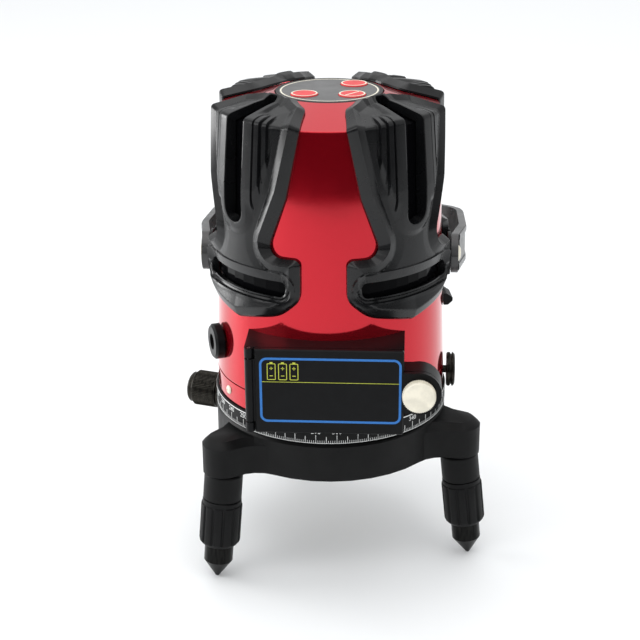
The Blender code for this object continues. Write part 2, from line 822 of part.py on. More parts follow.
def sleeve_mesh():
    """The plain sleeve under a lobe, with a spigot above and a blind bore below."""
    bore_top = WHEEL_FOOT + STUD_HIDDEN + ROD_LENGTH + 2 * GAP
    top = max(SLEEVE_TOP + SPIGOT_LENGTH, bore_top + GAP)
    bore = ROD_RADIUS + GAP
    profile = [
        (0.0, top),
        (SPIGOT_RADIUS, top),
        (SPIGOT_RADIUS, SLEEVE_TOP),
        (SLEEVE_RADIUS, SLEEVE_TOP),
        (SLEEVE_RADIUS, SLEEVE_FOOT),
        (bore, SLEEVE_FOOT),
        (bore, bore_top),
        (0.0, bore_top),
    ]
    return turned(profile, SMALL_STEPS, closed=False)


def build_wheel(name, carrier, place):
    """A levelling wheel with flats between narrow flutes and bevelled ends."""
    pitch = 2 * math.pi / WHEEL_FLUTES
    groove = FLUTE_WIDTH / WHEEL_RADIUS / 2
    outline = []
    for index in range(WHEEL_FLUTES):
        start = index * pitch
        for angle, radius in (
            (start - groove, WHEEL_RADIUS),
            (start, WHEEL_RADIUS - FLUTE_DEPTH),
            (start + groove, WHEEL_RADIUS),
        ):
            outline.append(Vector((radius * math.cos(angle), radius * math.sin(angle))))
    wheel = piece(name, shifted(prism([outline], WHEEL_LENGTH), WHEEL_FOOT), BASE_BLACK, carrier, place)
    envelope = [
        (0.0, WHEEL_TOP + GAP),
        (WHEEL_RADIUS - WHEEL_TOP_CHAMFER, WHEEL_TOP + GAP),
        (WHEEL_RADIUS + GAP, WHEEL_TOP - WHEEL_TOP_CHAMFER),
        (WHEEL_RADIUS + GAP, WHEEL_FOOT + WHEEL_CHAMFER),
        (WHEEL_RADIUS - WHEEL_CHAMFER, WHEEL_FOOT - GAP),
        (0.0, WHEEL_FOOT - GAP),
    ]
    limits = turned(envelope, 2 * WHEEL_FLUTES, closed=False)
    boolean(wheel, tool(name + "_envelope", limits, place), "INTERSECT")
    counterbore = WHEEL_FOOT + STUD_HIDDEN + GAP
    bore = [
        (0.0, WHEEL_TOP + GAP),
        (ROD_RADIUS + GAP, WHEEL_TOP + GAP),
        (ROD_RADIUS + GAP, counterbore),
        (STUD_RADIUS + GAP, counterbore),
        (STUD_RADIUS + GAP, WHEEL_FOOT - GAP),
        (0.0, WHEEL_FOOT - GAP),
    ]
    cut(wheel, tool(name + "_bore", turned(bore, SMALL_STEPS, closed=False), place))


def foot_mesh():
    """A foot: threaded rod, stud and cone with a small flat at the tip."""
    shoulder = WHEEL_FOOT + STUD_HIDDEN
    profile = [
        (0.0, shoulder + ROD_LENGTH),
        (ROD_RADIUS, shoulder + ROD_LENGTH),
        (ROD_RADIUS, shoulder),
        (STUD_RADIUS, shoulder),
        (STUD_RADIUS, CONE_LENGTH),
        (TIP_FLAT, 0.0),
        (0.0, 0.0),
    ]
    return turned(profile, SMALL_STEPS, closed=False)


def build_ring_and_bearing():
    """The graduated ring, tripod insert, bush, nut and spindle on the turning axis."""
    inner = DRUM_RADIUS - RING_WALL
    ring = [
        (inner, RING_TOP),
        (DRUM_RADIUS - RING_EDGE, RING_TOP),
        (DRUM_RADIUS, RING_TOP - RING_EDGE),
        (DRUM_RADIUS, RING_TOP - RING_HEIGHT + RING_EDGE),
        (DRUM_RADIUS - RING_EDGE, RING_TOP - RING_HEIGHT),
        (inner, RING_TOP - RING_HEIGHT),
    ]
    piece("graduated_ring", turned(ring, SHELL_STEPS), BASE_BLACK, BASE)
    insert = tube(TRIPOD_BORE_RADIUS, INSERT_RADIUS, SEAT_FACE, SEAT_FACE + INSERT_LENGTH)
    piece("tripod_insert", insert, BRASS, BASE)
    bush_top = BAND_FOOT - GAP
    bush_inner = SPINDLE_RADIUS + GAP
    bush_outer = bush_inner + BUSH_WALL
    bush = [
        (bush_inner, bush_top),
        (BUSH_FLANGE_RADIUS, bush_top),
        (BUSH_FLANGE_RADIUS, HUB_TOP + GAP),
        (bush_outer, HUB_TOP + GAP),
        (bush_outer, NUT_TOP + GAP),
        (bush_inner, NUT_TOP + GAP),
    ]
    piece("spindle_bush", turned(bush), BRASS, BASE)
    piece("spindle_nut", tube(bush_inner, NUT_RADIUS, NUT_FOOT, NUT_TOP), STEEL, TURRET)
    flange_foot = PLATE_TOP + GAP
    spindle = [
        (SPINDLE_BORE_RADIUS, flange_foot + SPINDLE_FLANGE),
        (SPINDLE_FLANGE_RADIUS, flange_foot + SPINDLE_FLANGE),
        (SPINDLE_FLANGE_RADIUS, flange_foot),
        (SPINDLE_RADIUS, flange_foot),
        (SPINDLE_RADIUS, NUT_FOOT),
        (SPINDLE_BORE_RADIUS, NUT_FOOT),
    ]
    piece("spindle", turned(spindle), STEEL, TURRET)


def build_fine_drive():
    """The fine-turning knob, its shaft and the friction roller under the turret."""
    place = along((0, 0, FINE_Z), outward(FINE_AZIMUTH))
    drive = body("fine_drive", place, BASE)
    knob_foot = DRUM_RADIUS + TURN_GAP
    knob_end = knob_foot + FINE_KNOB_LENGTH
    bore = FINE_SHAFT_RADIUS + GAP
    knob = [
        (0.0, knob_end + FINE_COLLAR_LENGTH),
        (FINE_COLLAR_RADIUS - FINE_EDGE, knob_end + FINE_COLLAR_LENGTH),
        (FINE_COLLAR_RADIUS, knob_end + FINE_COLLAR_LENGTH - FINE_EDGE),
        (FINE_COLLAR_RADIUS, knob_end),
        (FINE_KNOB_RADIUS - FINE_EDGE, knob_end),
        (FINE_KNOB_RADIUS, knob_end - FINE_EDGE),
        (FINE_KNOB_RADIUS, knob_foot + FINE_EDGE),
        (FINE_KNOB_RADIUS - FINE_EDGE, knob_foot),
        (bore, knob_foot),
        (bore, knob_end - FINE_EDGE),
        (0.0, knob_end - FINE_EDGE),
    ]
    piece("fine_knob", turned(knob, closed=False), STEEL_DARK, drive, place)
    shaft = rod(FINE_SHAFT_RADIUS, POST_RADIUS - POST_DEPTH, knob_end - FINE_EDGE - GAP)
    piece("fine_shaft", shaft, STEEL, drive, place)
    half = ROLLER_WIDTH / 2
    roller = tube(bore, ROLLER_RADIUS, TRACK_RADIUS - half, TRACK_RADIUS + half, SMALL_STEPS)
    piece("friction_roller", roller, BLACK, drive, place)


def build_chassis():
    """The plate that carries the turret, with the track that the roller drives."""
    track_foot = FINE_Z + ROLLER_RADIUS + GAP
    half = TRACK_WIDTH / 2
    rim = BODY_RADIUS - BAND_WALL - GAP
    plate = [
        (SPINDLE_RADIUS + GAP, PLATE_TOP),
        (rim, PLATE_TOP),
        (rim, BAND_FOOT),
        (TRACK_RADIUS + half, BAND_FOOT),
        (TRACK_RADIUS + half, track_foot),
        (TRACK_RADIUS - half, track_foot),
        (TRACK_RADIUS - half, BAND_FOOT),
        (SPINDLE_RADIUS + GAP, BAND_FOOT),
    ]
    chassis = piece("chassis_plate", turned(plate, ROUND_STEPS), STEEL, TURRET)
    cut(chassis, tray_cutter("tray_room_in_plate"))


def tray_cutter(name):
    """The room that the battery tray takes out of the turret's walls."""
    low = (BOX_LEFT - GAP, -2 * BODY_RADIUS, BAND_FOOT - 2 * GAP)
    high = (BOX_RIGHT + GAP, tray_back() + GAP, BOX_TOP + GAP)
    return tool(name, block(low, high))


def cell_rows():
    """The middle of the front cells and of the rear cell, and the two levels of the front ones."""
    step = 2 * CELL_RADIUS + GAP
    front = TRAY_FRONT + CELL_RADIUS + GAP
    rear = front + step * math.sin(math.radians(CELL_STACK_ANGLE))
    low = BOX_FOOT + BOX_FLOOR + GAP + CELL_RADIUS
    return front, rear, low, low + step


def tray_back():
    """The rear face of the battery tray."""
    rear = cell_rows()[1]
    return rear + CELL_RADIUS + GAP + BOX_WALL


def build_shell():
    """The red band and the red upper housing with its openings."""
    band_inner = BODY_RADIUS - BAND_WALL
    band = piece("lower_band", tube(band_inner, BODY_RADIUS, BAND_FOOT, BAND_TOP, SHELL_STEPS), RED, TURRET)
    side = outward(0.0)
    side_hole = rod(SIDE_SHAFT_RADIUS + GAP, BODY_RADIUS / 2, 2 * BODY_RADIUS)
    knob_hole = tool("side_knob_hole", side_hole, along((0, 0, side_knob_z()), side))
    cut(band, tray_cutter("tray_room_in_band"), knob_hole)
    slope = Vector((CONE_RISE, SHOULDER_RADIUS - SHELL_TOP_RADIUS)).normalized()
    ledge = SHELL_TOP - KEYPAD_THICKNESS - GAP
    throat = KEYPAD_RADIUS - KEYPAD_LEDGE
    under = SHOULDER - SHELL_WALL / slope.y
    drop = CONE_RISE / (SHOULDER_RADIUS - SHELL_TOP_RADIUS)
    inner_shoulder = SHOULDER_RADIUS - SHELL_WALL
    profile = [
        (SHELL_TOP_RADIUS, SHELL_TOP),
        (SHOULDER_RADIUS, SHOULDER),
        (BODY_RADIUS, SHELL_FOOT),
        (BODY_RADIUS - SHELL_WALL, SHELL_FOOT),
        (inner_shoulder, under + SHELL_WALL * drop),
        (throat, ledge - LEDGE_THICKNESS),
        (throat, ledge),
        (SHELL_TOP_RADIUS, ledge),
    ]
    shell = piece("housing_shell", turned(profile, SHELL_STEPS), RED, TURRET)
    cut(shell, tray_cutter("tray_room_in_shell"))
    for corner, azimuth in BUMPER_AZIMUTHS.items():
        opening = prism([rounded(pane_corners(GAP), PANE_STEPS)], 3 * SHELL_WALL)
        room = wrap(shifted(opening, -2 * SHELL_WALL), azimuth, lifted=False)
        cut(shell, tool("pane_room_" + corner, room))
    socket_hole = rod(SOCKET_SPIGOT_RADIUS + GAP, BODY_RADIUS / 2, 2 * BODY_RADIUS)
    socket_axis = along((0, 0, SHELL_FOOT + SOCKET_HEIGHT), outward(SOCKET_AZIMUTH))
    cut(shell, tool("socket_hole", socket_hole, socket_axis))
    pivot_hole = rod(PIVOT_SCREW_RADIUS + GAP, -2 * BODY_RADIUS, 2 * BODY_RADIUS)
    cut(shell, tool("pivot_hole", pivot_hole, along((0, 0, PIVOT_Z), (1, 0, 0))))


def pane_corners(grown):
    """The T-shaped outline of a window pane, grown by a clearance."""
    stem = UPRIGHT_SLOT_HALF + PANE_MARGIN + grown
    arm = angle_u(LEVEL_SLOT_ANGLE) + PANE_MARGIN + grown
    half = LEVEL_SLOT_OPENING / 2 + PANE_MARGIN + grown
    low = wall_v(LEVEL_SLOT_HEIGHT) - half
    high = wall_v(LEVEL_SLOT_HEIGHT) + half
    top = cone_v(UPRIGHT_SLOT_TOP_RADIUS) + PANE_MARGIN + grown
    return mirrored([(arm, low, 0.0), (arm, high, 0.0), (stem, high, 0.0), (stem, top, 0.0)])


def bumper_half():
    """The right half of a bumper's outline, from the tip of the jaw to the crown."""
    return [
        (0.0, wall_v(JAW_TIP), 0.0),
        (angle_u(JAW_SIDE_ANGLE), wall_v(JAW_SIDE), JAW_FILLET),
        (angle_u(JAW_ANGLE), wall_v(JAW_CORNER), JAW_FILLET),
        (angle_u(JAW_ANGLE), wall_v(JAW_TOP), JAW_TOP_FILLET),
        (angle_u(NECK_ANGLE), wall_v(JAW_TOP), NECK_FILLET),
        (angle_u(SHOULDER_ANGLE), WALL_RUN, 0.0),
        (angle_u(CROWN_ANGLE), cone_v(CROWN_RADIUS), CROWN_FILLET),
        (angle_u(END_ANGLE), cone_v(END_RADIUS), CROWN_FILLET),
    ]


def upright_slot(margin):
    """The corners of the upright slot, grown by a margin."""
    half = UPRIGHT_SLOT_HALF + margin
    foot = wall_v(UPRIGHT_SLOT_FOOT) - margin
    top = cone_v(UPRIGHT_SLOT_TOP_RADIUS) + margin / 2
    return mirrored([(half, foot, half * FULL_ROUND), (half, top, half / 2)])


def level_slot(margin):
    """The corners of the level slot, grown by a margin."""
    half = LEVEL_SLOT_OPENING / 2 + margin
    middle = wall_v(LEVEL_SLOT_HEIGHT)
    arm = angle_u(LEVEL_SLOT_ANGLE) + margin
    fillet = half * LEVEL_SLOT_ROUND
    return mirrored([(arm, middle - half, fillet), (arm, middle + half, fillet)])


def flat_bumper():
    """A corner bumper laid flat: flank, face, slot lip and stepped fins, with both slots cut."""
    outline = mirrored(bumper_half())
    layers = [shifted(prism([rounded(outline)], FLANK_HEIGHT - GAP, FLANK_CHAMFER), GAP)]
    face = inset(outline, FLANK_WIDTH)
    layers.append(raised(rounded(face), FACE_HEIGHT, FACE_CHAMFER, len(layers)))
    layers.append(raised(rounded(level_slot(LIP_WIDTH)), LIP_HEIGHT, LIP_CHAMFER, len(layers)))
    for index in range(FIN_COUNT):
        half = UPRIGHT_SLOT_HALF + FIN_WIDTH + index * TERRACE_WIDTH
        foot = wall_v(UPRIGHT_SLOT_FOOT + index * TERRACE_RISE) - FIN_WIDTH
        top = cone_v(UPRIGHT_SLOT_TOP_RADIUS) + FIN_WIDTH / 2 - index * TERRACE_WIDTH / 2
        fin = mirrored([(half, foot, half * FIN_ROUND / (index + 1)), (half, top, half / 3)])
        layers.append(raised(rounded(fin), FIN_HEIGHT - index * FIN_STEP, 0.0, len(layers)))
    slots = [upright_slot(0.0), level_slot(0.0)]
    cutters = [shifted(prism([rounded(slot)], 3 * FIN_HEIGHT), -FIN_HEIGHT) for slot in slots]
    return without(united(layers), cutters)


def raised(outline, top, chamfer, order):
    """A layer of the bumper, rooted in its flank layer at a level of its own."""
    foot = GAP + (FLANK_HEIGHT - GAP) * order / (FIN_COUNT + 4)
    return shifted(prism([outline], top - foot, chamfer), foot)


def build_bumpers():
    """Four bumpers and the window panes behind their slots."""
    flat = flat_bumper()
    pane = shifted(prism([rounded(pane_corners(0.0), PANE_STEPS)], PANE_THICKNESS), -PANE_THICKNESS - GAP)
    for corner, azimuth in BUMPER_AZIMUTHS.items():
        piece("bumper_" + corner, wrap(flat, azimuth), BLACK, TURRET)
        piece("window_pane_" + corner, wrap(pane, azimuth, lifted=False), GLASS, TURRET)


def build_keypad():
    """The keypad panel, its three keys and the control board below."""
    panel_foot = SHELL_TOP - KEYPAD_THICKNESS
    flange_top = panel_foot - GAP
    flange_foot = flange_top - KEY_FLANGE
    board_top = flange_foot - KEY_TRAVEL - GAP
    panel = [
        (0.0, SHELL_TOP),
        (KEYPAD_RADIUS, SHELL_TOP),
        (KEYPAD_RADIUS, panel_foot),
        (KEYPAD_POST_RADIUS, panel_foot),
        (KEYPAD_POST_RADIUS, board_top + GAP),
        (0.0, board_top + GAP),
    ]
    keypad = piece("keypad_panel", turned(panel, SHELL_STEPS, closed=False), GREY, TURRET)
    places = {
        "left": (-KEY_OFFSET_X, KEY_FRONT_Y),
        "right": (KEY_OFFSET_X, KEY_FRONT_Y),
        "rear": (KEY_OFFSET_X, KEY_REAR_Y),
    }
    for side, (x, y) in places.items():
        place = Matrix.Translation((x, y, 0))
        hole = rod(KEY_RADIUS + GAP, panel_foot - GAP, SHELL_TOP + GAP)
        cut(keypad, tool("key_hole_" + side, hole, place))
        key = [
            (0.0, SHELL_TOP + KEY_PROUD),
            (KEY_RADIUS - KEY_PROUD, SHELL_TOP + KEY_PROUD),
            (KEY_RADIUS, SHELL_TOP),
            (KEY_RADIUS, flange_top),
            (KEY_RADIUS + KEY_FLANGE_LIP, flange_top),
            (KEY_RADIUS + KEY_FLANGE_LIP, flange_foot),
            (0.0, flange_foot),
        ]
        key_body = body("key_" + side, Matrix.Translation((x, y, SHELL_TOP)), TURRET)
        piece("push_key_" + side, turned(key, closed=False), RED, key_body, place)
    board = rod(BOARD_RADIUS, board_top - BOARD_THICKNESS, board_top, ROUND_STEPS)
    piece("control_board", board, GREEN, TURRET)


def build_battery_box():
    """The battery tray, its cells and contacts, the hinged door and the thumb screw."""
    tray = piece("battery_tray", tray_shell(), BLACK, TURRET)
    back = tray_back()
    front, rear, low, high = cell_rows()
    middle = (BOX_LEFT + BOX_RIGHT) / 2
    half = CELL_LENGTH / 2 + CONTACT_THICKNESS + 2 * GAP
    room = block(
        (middle - half, TRAY_FRONT - GAP, BOX_FOOT + BOX_FLOOR),
        (middle + half, back - BOX_WALL, BOX_TOP - BOX_WALL),
    )
    lug_low = BOX_FOOT + BARREL_LUG
    lug_high = BOX_TOP - BARREL_LUG
    pin_axis = Matrix.Translation((BARREL_X, BARREL_Y, 0))
    for name, foot, top in (("low", BOX_FOOT, lug_low), ("high", lug_high, BOX_TOP)):
        lug = rod(BARREL_RADIUS, foot, top)
        root = block(
            (BARREL_X - BARREL_RADIUS + GAP, BARREL_Y, foot + GAP / 2),
            (BARREL_X + BARREL_RADIUS - GAP, TRAY_FRONT + BOX_WALL, top - GAP / 2),
        )
        lug_tool = tool("hinge_lug_" + name, lug, pin_axis)
        join(tray, lug_tool, tool("hinge_root_" + name, root), solver="MANIFOLD")
    boss = block(
        (BOX_RIGHT - BOX_WALL, TRAY_FRONT + GAP / 2, EAR_Z - EAR_RADIUS + GAP),
        (EAR_X, TRAY_FRONT + EAR_DEPTH - GAP / 2, EAR_Z + EAR_RADIUS - GAP),
    )
    forward = (0, -1, 0)
    ear_axis = along((EAR_X, 0, EAR_Z), forward)
    round_boss = rod(EAR_RADIUS, -TRAY_FRONT - EAR_DEPTH, -TRAY_FRONT, ROUND_STEPS)
    join(tray, tool("ear_boss", boss), tool("ear_round", round_boss, ear_axis), solver="MANIFOLD")
    cut(tray, tool("cell_room", room), solver="MANIFOLD")
    swing = rod(BARREL_RADIUS + GAP, lug_low - GAP, lug_high + GAP)
    pin_hole = rod(PIN_RADIUS + GAP, BOX_FOOT + GAP, BOX_TOP + GAP)
    thread_end = -TRAY_FRONT - THUMB_REACH - THREAD_SLACK
    thread = rod(THUMB_SHAFT_RADIUS + THREAD_SLACK, thread_end, -TRAY_FRONT + GAP)
    pin_tool = tool("pin_hole_tray", pin_hole, pin_axis)
    cut(tray, tool("door_swing", swing, pin_axis), pin_tool, solver="MANIFOLD")
    cut(tray, tool("thumb_thread", thread, ear_axis), solver="MANIFOLD")
    pin = rod(PIN_RADIUS, BOX_FOOT + 2 * GAP, BOX_TOP)
    piece("door_hinge_pin", pin, STEEL, TURRET, pin_axis)
    sideways = (1, 0, 0)
    start = middle - CELL_LENGTH / 2
    for name, y, z in (("lower", front, low), ("upper", front, high), ("back", rear, (low + high) / 2)):
        cell = rod(CELL_RADIUS, start, start + CELL_LENGTH, ROUND_STEPS)
        piece("cell_" + name, cell, CELL, TURRET, along((0, y, z), sideways))
    for name, x in (("left", start - GAP - CONTACT_THICKNESS), ("right", start + CELL_LENGTH + GAP)):
        plate = block(
            (x, TRAY_FRONT + CELL_RADIUS, BOX_FOOT + BOX_FLOOR + GAP),
            (x + CONTACT_THICKNESS, back - BOX_WALL - GAP, high + CELL_RADIUS / 2),
        )
        piece("contact_plate_" + name, plate, STEEL, TURRET)
    build_door(lug_low, lug_high, pin_axis, ear_axis)


def tray_shell():
    """The outside of the battery tray as a plain box."""
    return block((BOX_LEFT, TRAY_FRONT, BOX_FOOT), (BOX_RIGHT, tray_back(), BOX_TOP))


def build_door(lug_low, lug_high, pin_axis, ear_axis):
    """The door with its hinge barrel and ear, and the captive thumb screw."""
    hinge = Matrix.Translation((BARREL_X, BARREL_Y, (BOX_FOOT + BOX_TOP) / 2))
    door_body = body("door", hinge, TURRET)
    left = BARREL_X + BARREL_RADIUS + 2 * GAP
    corners = [
        (left, BOX_FOOT, 0.0),
        (BOX_RIGHT, BOX_FOOT, DOOR_CORNER),
        (BOX_RIGHT, BOX_TOP, DOOR_CORNER),
        (left, BOX_TOP, 0.0),
    ]
    upright = Matrix(((1, 0, 0, 0), (0, 0, -1, BOX_FRONT + DOOR_THICKNESS), (0, 1, 0, 0), (0, 0, 0, 1)))
    plate = prism([rounded(corners)], DOOR_THICKNESS, DOOR_CHAMFER)
    door = piece("battery_door", plate, BLACK, door_body, upright)
    barrel = rod(BARREL_RADIUS, lug_low + GAP, lug_high - GAP)
    leaf = block(
        (BARREL_X, BARREL_Y - DOOR_THICKNESS / 3, lug_low + GAP),
        (left + DOOR_THICKNESS, BARREL_Y + DOOR_CHAMFER, lug_high - GAP),
    )
    ear_back = -(BOX_FRONT + DOOR_THICKNESS)
    ear = rod(EAR_RADIUS, ear_back, -BOX_FRONT, ROUND_STEPS)
    web = block(
        (BOX_RIGHT - DOOR_THICKNESS, BOX_FRONT + GAP / 2, EAR_Z - EAR_RADIUS + GAP),
        (EAR_X, BOX_FRONT + DOOR_THICKNESS - GAP / 2, EAR_Z + EAR_RADIUS - GAP),
    )
    join(door, tool("door_barrel", barrel, pin_axis), tool("door_leaf", leaf), solver="MANIFOLD")
    join(door, tool("door_web", web), tool("door_ear", ear, ear_axis), solver="MANIFOLD")
    pin_hole = rod(PIN_RADIUS + GAP, BOX_FOOT, BOX_TOP)
    screw_hole = rod(THUMB_SHAFT_RADIUS + GAP, ear_back - GAP, -BOX_FRONT + GAP)
    pin_tool = tool("pin_hole_door", pin_hole, pin_axis)
    cut(door, pin_tool, tool("thumb_hole", screw_hole, ear_axis), solver="MANIFOLD")
    thumb_place = Matrix.Translation((0, BOX_FRONT, 0)) @ ear_axis
    thumb_body = body("thumb", thumb_place, door_body)
    head_foot = -BOX_FRONT + GAP
    head_top = head_foot + THUMB_THICKNESS
    profile = [
        (0.0, head_top),
        (THUMB_RADIUS - THUMB_EDGE, head_top),
        (THUMB_RADIUS, head_top - THUMB_EDGE),
        (THUMB_RADIUS, head_foot + THUMB_EDGE),
        (THUMB_RADIUS - THUMB_EDGE, head_foot),
        (THUMB_SHAFT_RADIUS, head_foot),
        (THUMB_SHAFT_RADIUS, -TRAY_FRONT - THUMB_REACH),
        (0.0, -TRAY_FRONT - THUMB_REACH),
    ]
    piece("thumb_screw", turned(profile, closed=False), CREAM, thumb_body, ear_axis)


def side_knob_z():
    """The level of the side knob: the middle of the red band."""
    return (BAND_FOOT + BAND_TOP) / 2


def build_side_fittings():
    """The power socket's collar, the port cover, the side knob and its switch."""
    socket_z = SHELL_FOOT + SOCKET_HEIGHT
    skin = wall_radius(SOCKET_HEIGHT - SOCKET_RADIUS)
    face = skin + GAP
    collar = [
        (SOCKET_BORE_RADIUS, face + SOCKET_PROUD),
        (SOCKET_RADIUS - SOCKET_EDGE, face + SOCKET_PROUD),
        (SOCKET_RADIUS, face + SOCKET_PROUD - SOCKET_EDGE),
        (SOCKET_RADIUS, face),
        (SOCKET_SPIGOT_RADIUS, face),
        (SOCKET_SPIGOT_RADIUS, face - 2 * SHELL_WALL),
        (SOCKET_BORE_RADIUS, face - 2 * SHELL_WALL),
    ]
    axis = along((0, 0, socket_z), outward(SOCKET_AZIMUTH))
    piece("socket_collar", turned(collar), BLACK, TURRET, axis)
    cover_z = SHELL_FOOT + COVER_HEIGHT
    back = wall_radius(COVER_HEIGHT - COVER_TALL / 2) + GAP
    cover = block(
        (back, -COVER_WIDTH / 2, cover_z - COVER_TALL / 2),
        (back + COVER_PROUD, COVER_WIDTH / 2, cover_z + COVER_TALL / 2),
    )
    turn = Matrix.Rotation(math.radians(COVER_AZIMUTH), 4, "Z")
    port = piece("port_cover", cover, BLACK, TURRET, turn)
    bevel = port.modifiers.new("edge", "BEVEL")
    bevel.width = COVER_EDGE
    bevel.segments = 2
    build_side_knob()


def build_side_knob():
    """The side knob on its shaft, and the switch that the shaft turns."""
    place = along((0, 0, side_knob_z()), (1, 0, 0))
    knob_body = body("side_knob_body", place, TURRET)
    foot = DRUM_RADIUS + TURN_GAP
    top = foot + SIDE_KNOB_THICKNESS
    groove_low = foot + SIDE_KNOB_LOWER
    groove_high = groove_low + SIDE_KNOB_GROOVE
    waist = SIDE_KNOB_RADIUS - SIDE_KNOB_GROOVE
    shaft_end = BODY_RADIUS - BAND_WALL - SWITCH_DEPTH / 2
    profile = [
        (0.0, top),
        (waist, top),
        (SIDE_KNOB_RADIUS, top - SIDE_KNOB_GROOVE),
        (SIDE_KNOB_RADIUS, groove_high),
        (waist, groove_high),
        (waist, groove_low),
        (SIDE_KNOB_RADIUS, groove_low),
        (SIDE_KNOB_RADIUS, foot),
        (SIDE_SHAFT_RADIUS, foot),
        (SIDE_SHAFT_RADIUS, shaft_end),
        (0.0, shaft_end),
    ]
    piece("side_knob", turned(profile, closed=False), STEEL_DARK, knob_body, place)
    half = SWITCH_SIZE / 2
    flat = math.sqrt((BODY_RADIUS - BAND_WALL) ** 2 - half ** 2) - GAP
    switch = block((flat - SWITCH_DEPTH, -half, PLATE_TOP + GAP), (flat, half, side_knob_z() + half))
    rotary = piece("rotary_switch", switch, BLACK, TURRET)
    bore = rod(SIDE_SHAFT_RADIUS + GAP, shaft_end - GAP, BODY_RADIUS)
    cut(rotary, tool("switch_bore", bore, place))


def build_handle():
    """The carrying handle with its pads and pivot screws."""
    axis_place = Matrix.Translation((0, 0, PIVOT_Z))
    tilt = Matrix.Rotation(math.radians(BAIL_REST), 4, "X")
    bail_body = body("bail", axis_place, TURRET)
    inner = PAD_FACE + GAP
    outer = inner + BAIL_THICKNESS
    half = BAIL_HEIGHT / 2
    wide = outer + BAIL_FLARE
    path = [
        (outer, -half, 0.0),
        (outer, BAIL_FLARE_START, BAIL_NEAR_BEND),
        (wide, BAIL_FLARE_LENGTH, BAIL_FAR_BEND),
        (wide, BAIL_REACH, BAIL_CORNER),
    ]
    shell_side = mirrored(path)
    thin = BAIL_THICKNESS
    inside = mirrored([
        (inner, -half, 0.0),
        (inner, BAIL_FLARE_START, BAIL_NEAR_BEND),
        (wide - thin, BAIL_FLARE_LENGTH, BAIL_FAR_BEND),
        (wide - thin, BAIL_REACH - thin, BAIL_CORNER - thin),
    ])
    outline = bail_outline(shell_side, inside)
    band = prism([outline], BAIL_HEIGHT)
    bail = piece("handle", shifted(band, -half), BLACK, bail_body, axis_place @ tilt)
    end_fillet = half * FULL_ROUND
    side_view = [
        (-half, -half, end_fillet),
        (BAIL_REACH + half, -half, 0.0),
        (BAIL_REACH + half, half, 0.0),
        (-half, half, end_fillet),
    ]
    sideways = Matrix(((0, 0, 1, -2 * wide), (1, 0, 0, 0), (0, 1, 0, 0), (0, 0, 0, 1)))
    envelope = prism([rounded(side_view, BEND_STEPS)], 4 * wide)
    boolean(bail, tool("bail_side_view", envelope, axis_place @ tilt @ sideways), "INTERSECT")
    floor = inner + BAIL_WEB
    washer = floor + GAP
    head = washer + PIVOT_WASHER
    bore = PIVOT_SCREW_RADIUS + GAP
    for side, sign in (("left", -1), ("right", 1)):
        place = along((0, 0, PIVOT_Z), (sign, 0, 0))
        join(bail, tool("bail_hub_" + side, rod(BAIL_HUB_RADIUS, inner, outer, ROUND_STEPS), place))
        spot = [(0.0, wide), (BAIL_SPOT_RADIUS, wide), (BAIL_SPOT_RADIUS, floor), (bore, floor),
                (bore, inner - GAP), (0.0, inner - GAP)]
        cut(bail, tool("bail_spot_" + side, turned(spot, closed=False), place))
        pad_back = wall_radius(PIVOT_HEIGHT - PAD_NECK_RADIUS) + GAP
        pad = [
            (bore, PAD_FACE),
            (PAD_RADIUS, PAD_FACE),
            (PAD_RADIUS, PAD_FACE - PAD_DISC),
            (PAD_NECK_RADIUS, PAD_FACE - PAD_DISC),
            (PAD_NECK_RADIUS, pad_back),
            (bore, pad_back),
        ]
        piece("pivot_pad_" + side, turned(pad), BLACK, TURRET, place)
        screw = [
            (0.0, head + PIVOT_HEAD),
            (PIVOT_HEAD_RADIUS - PIVOT_HEAD_EDGE, head + PIVOT_HEAD),
            (PIVOT_HEAD_RADIUS, head + PIVOT_HEAD - PIVOT_HEAD_EDGE),
            (PIVOT_HEAD_RADIUS, head),
            (PIVOT_WASHER_RADIUS, head),
            (PIVOT_WASHER_RADIUS, washer),
            (PIVOT_SCREW_RADIUS, washer),
            (PIVOT_SCREW_RADIUS, SHOULDER_RADIUS - SHELL_WALL),
            (0.0, SHOULDER_RADIUS - SHELL_WALL),
        ]
        piece("pivot_screw_" + side, turned(screw, closed=False), CREAM, TURRET, place)


def bail_outline(outer, inner):
    """The plan of the handle: out along its outer side, back along its inner side."""
    far = rounded(outer, BEND_STEPS)
    near = rounded(inner, BEND_STEPS)
    return far + near[::-1]


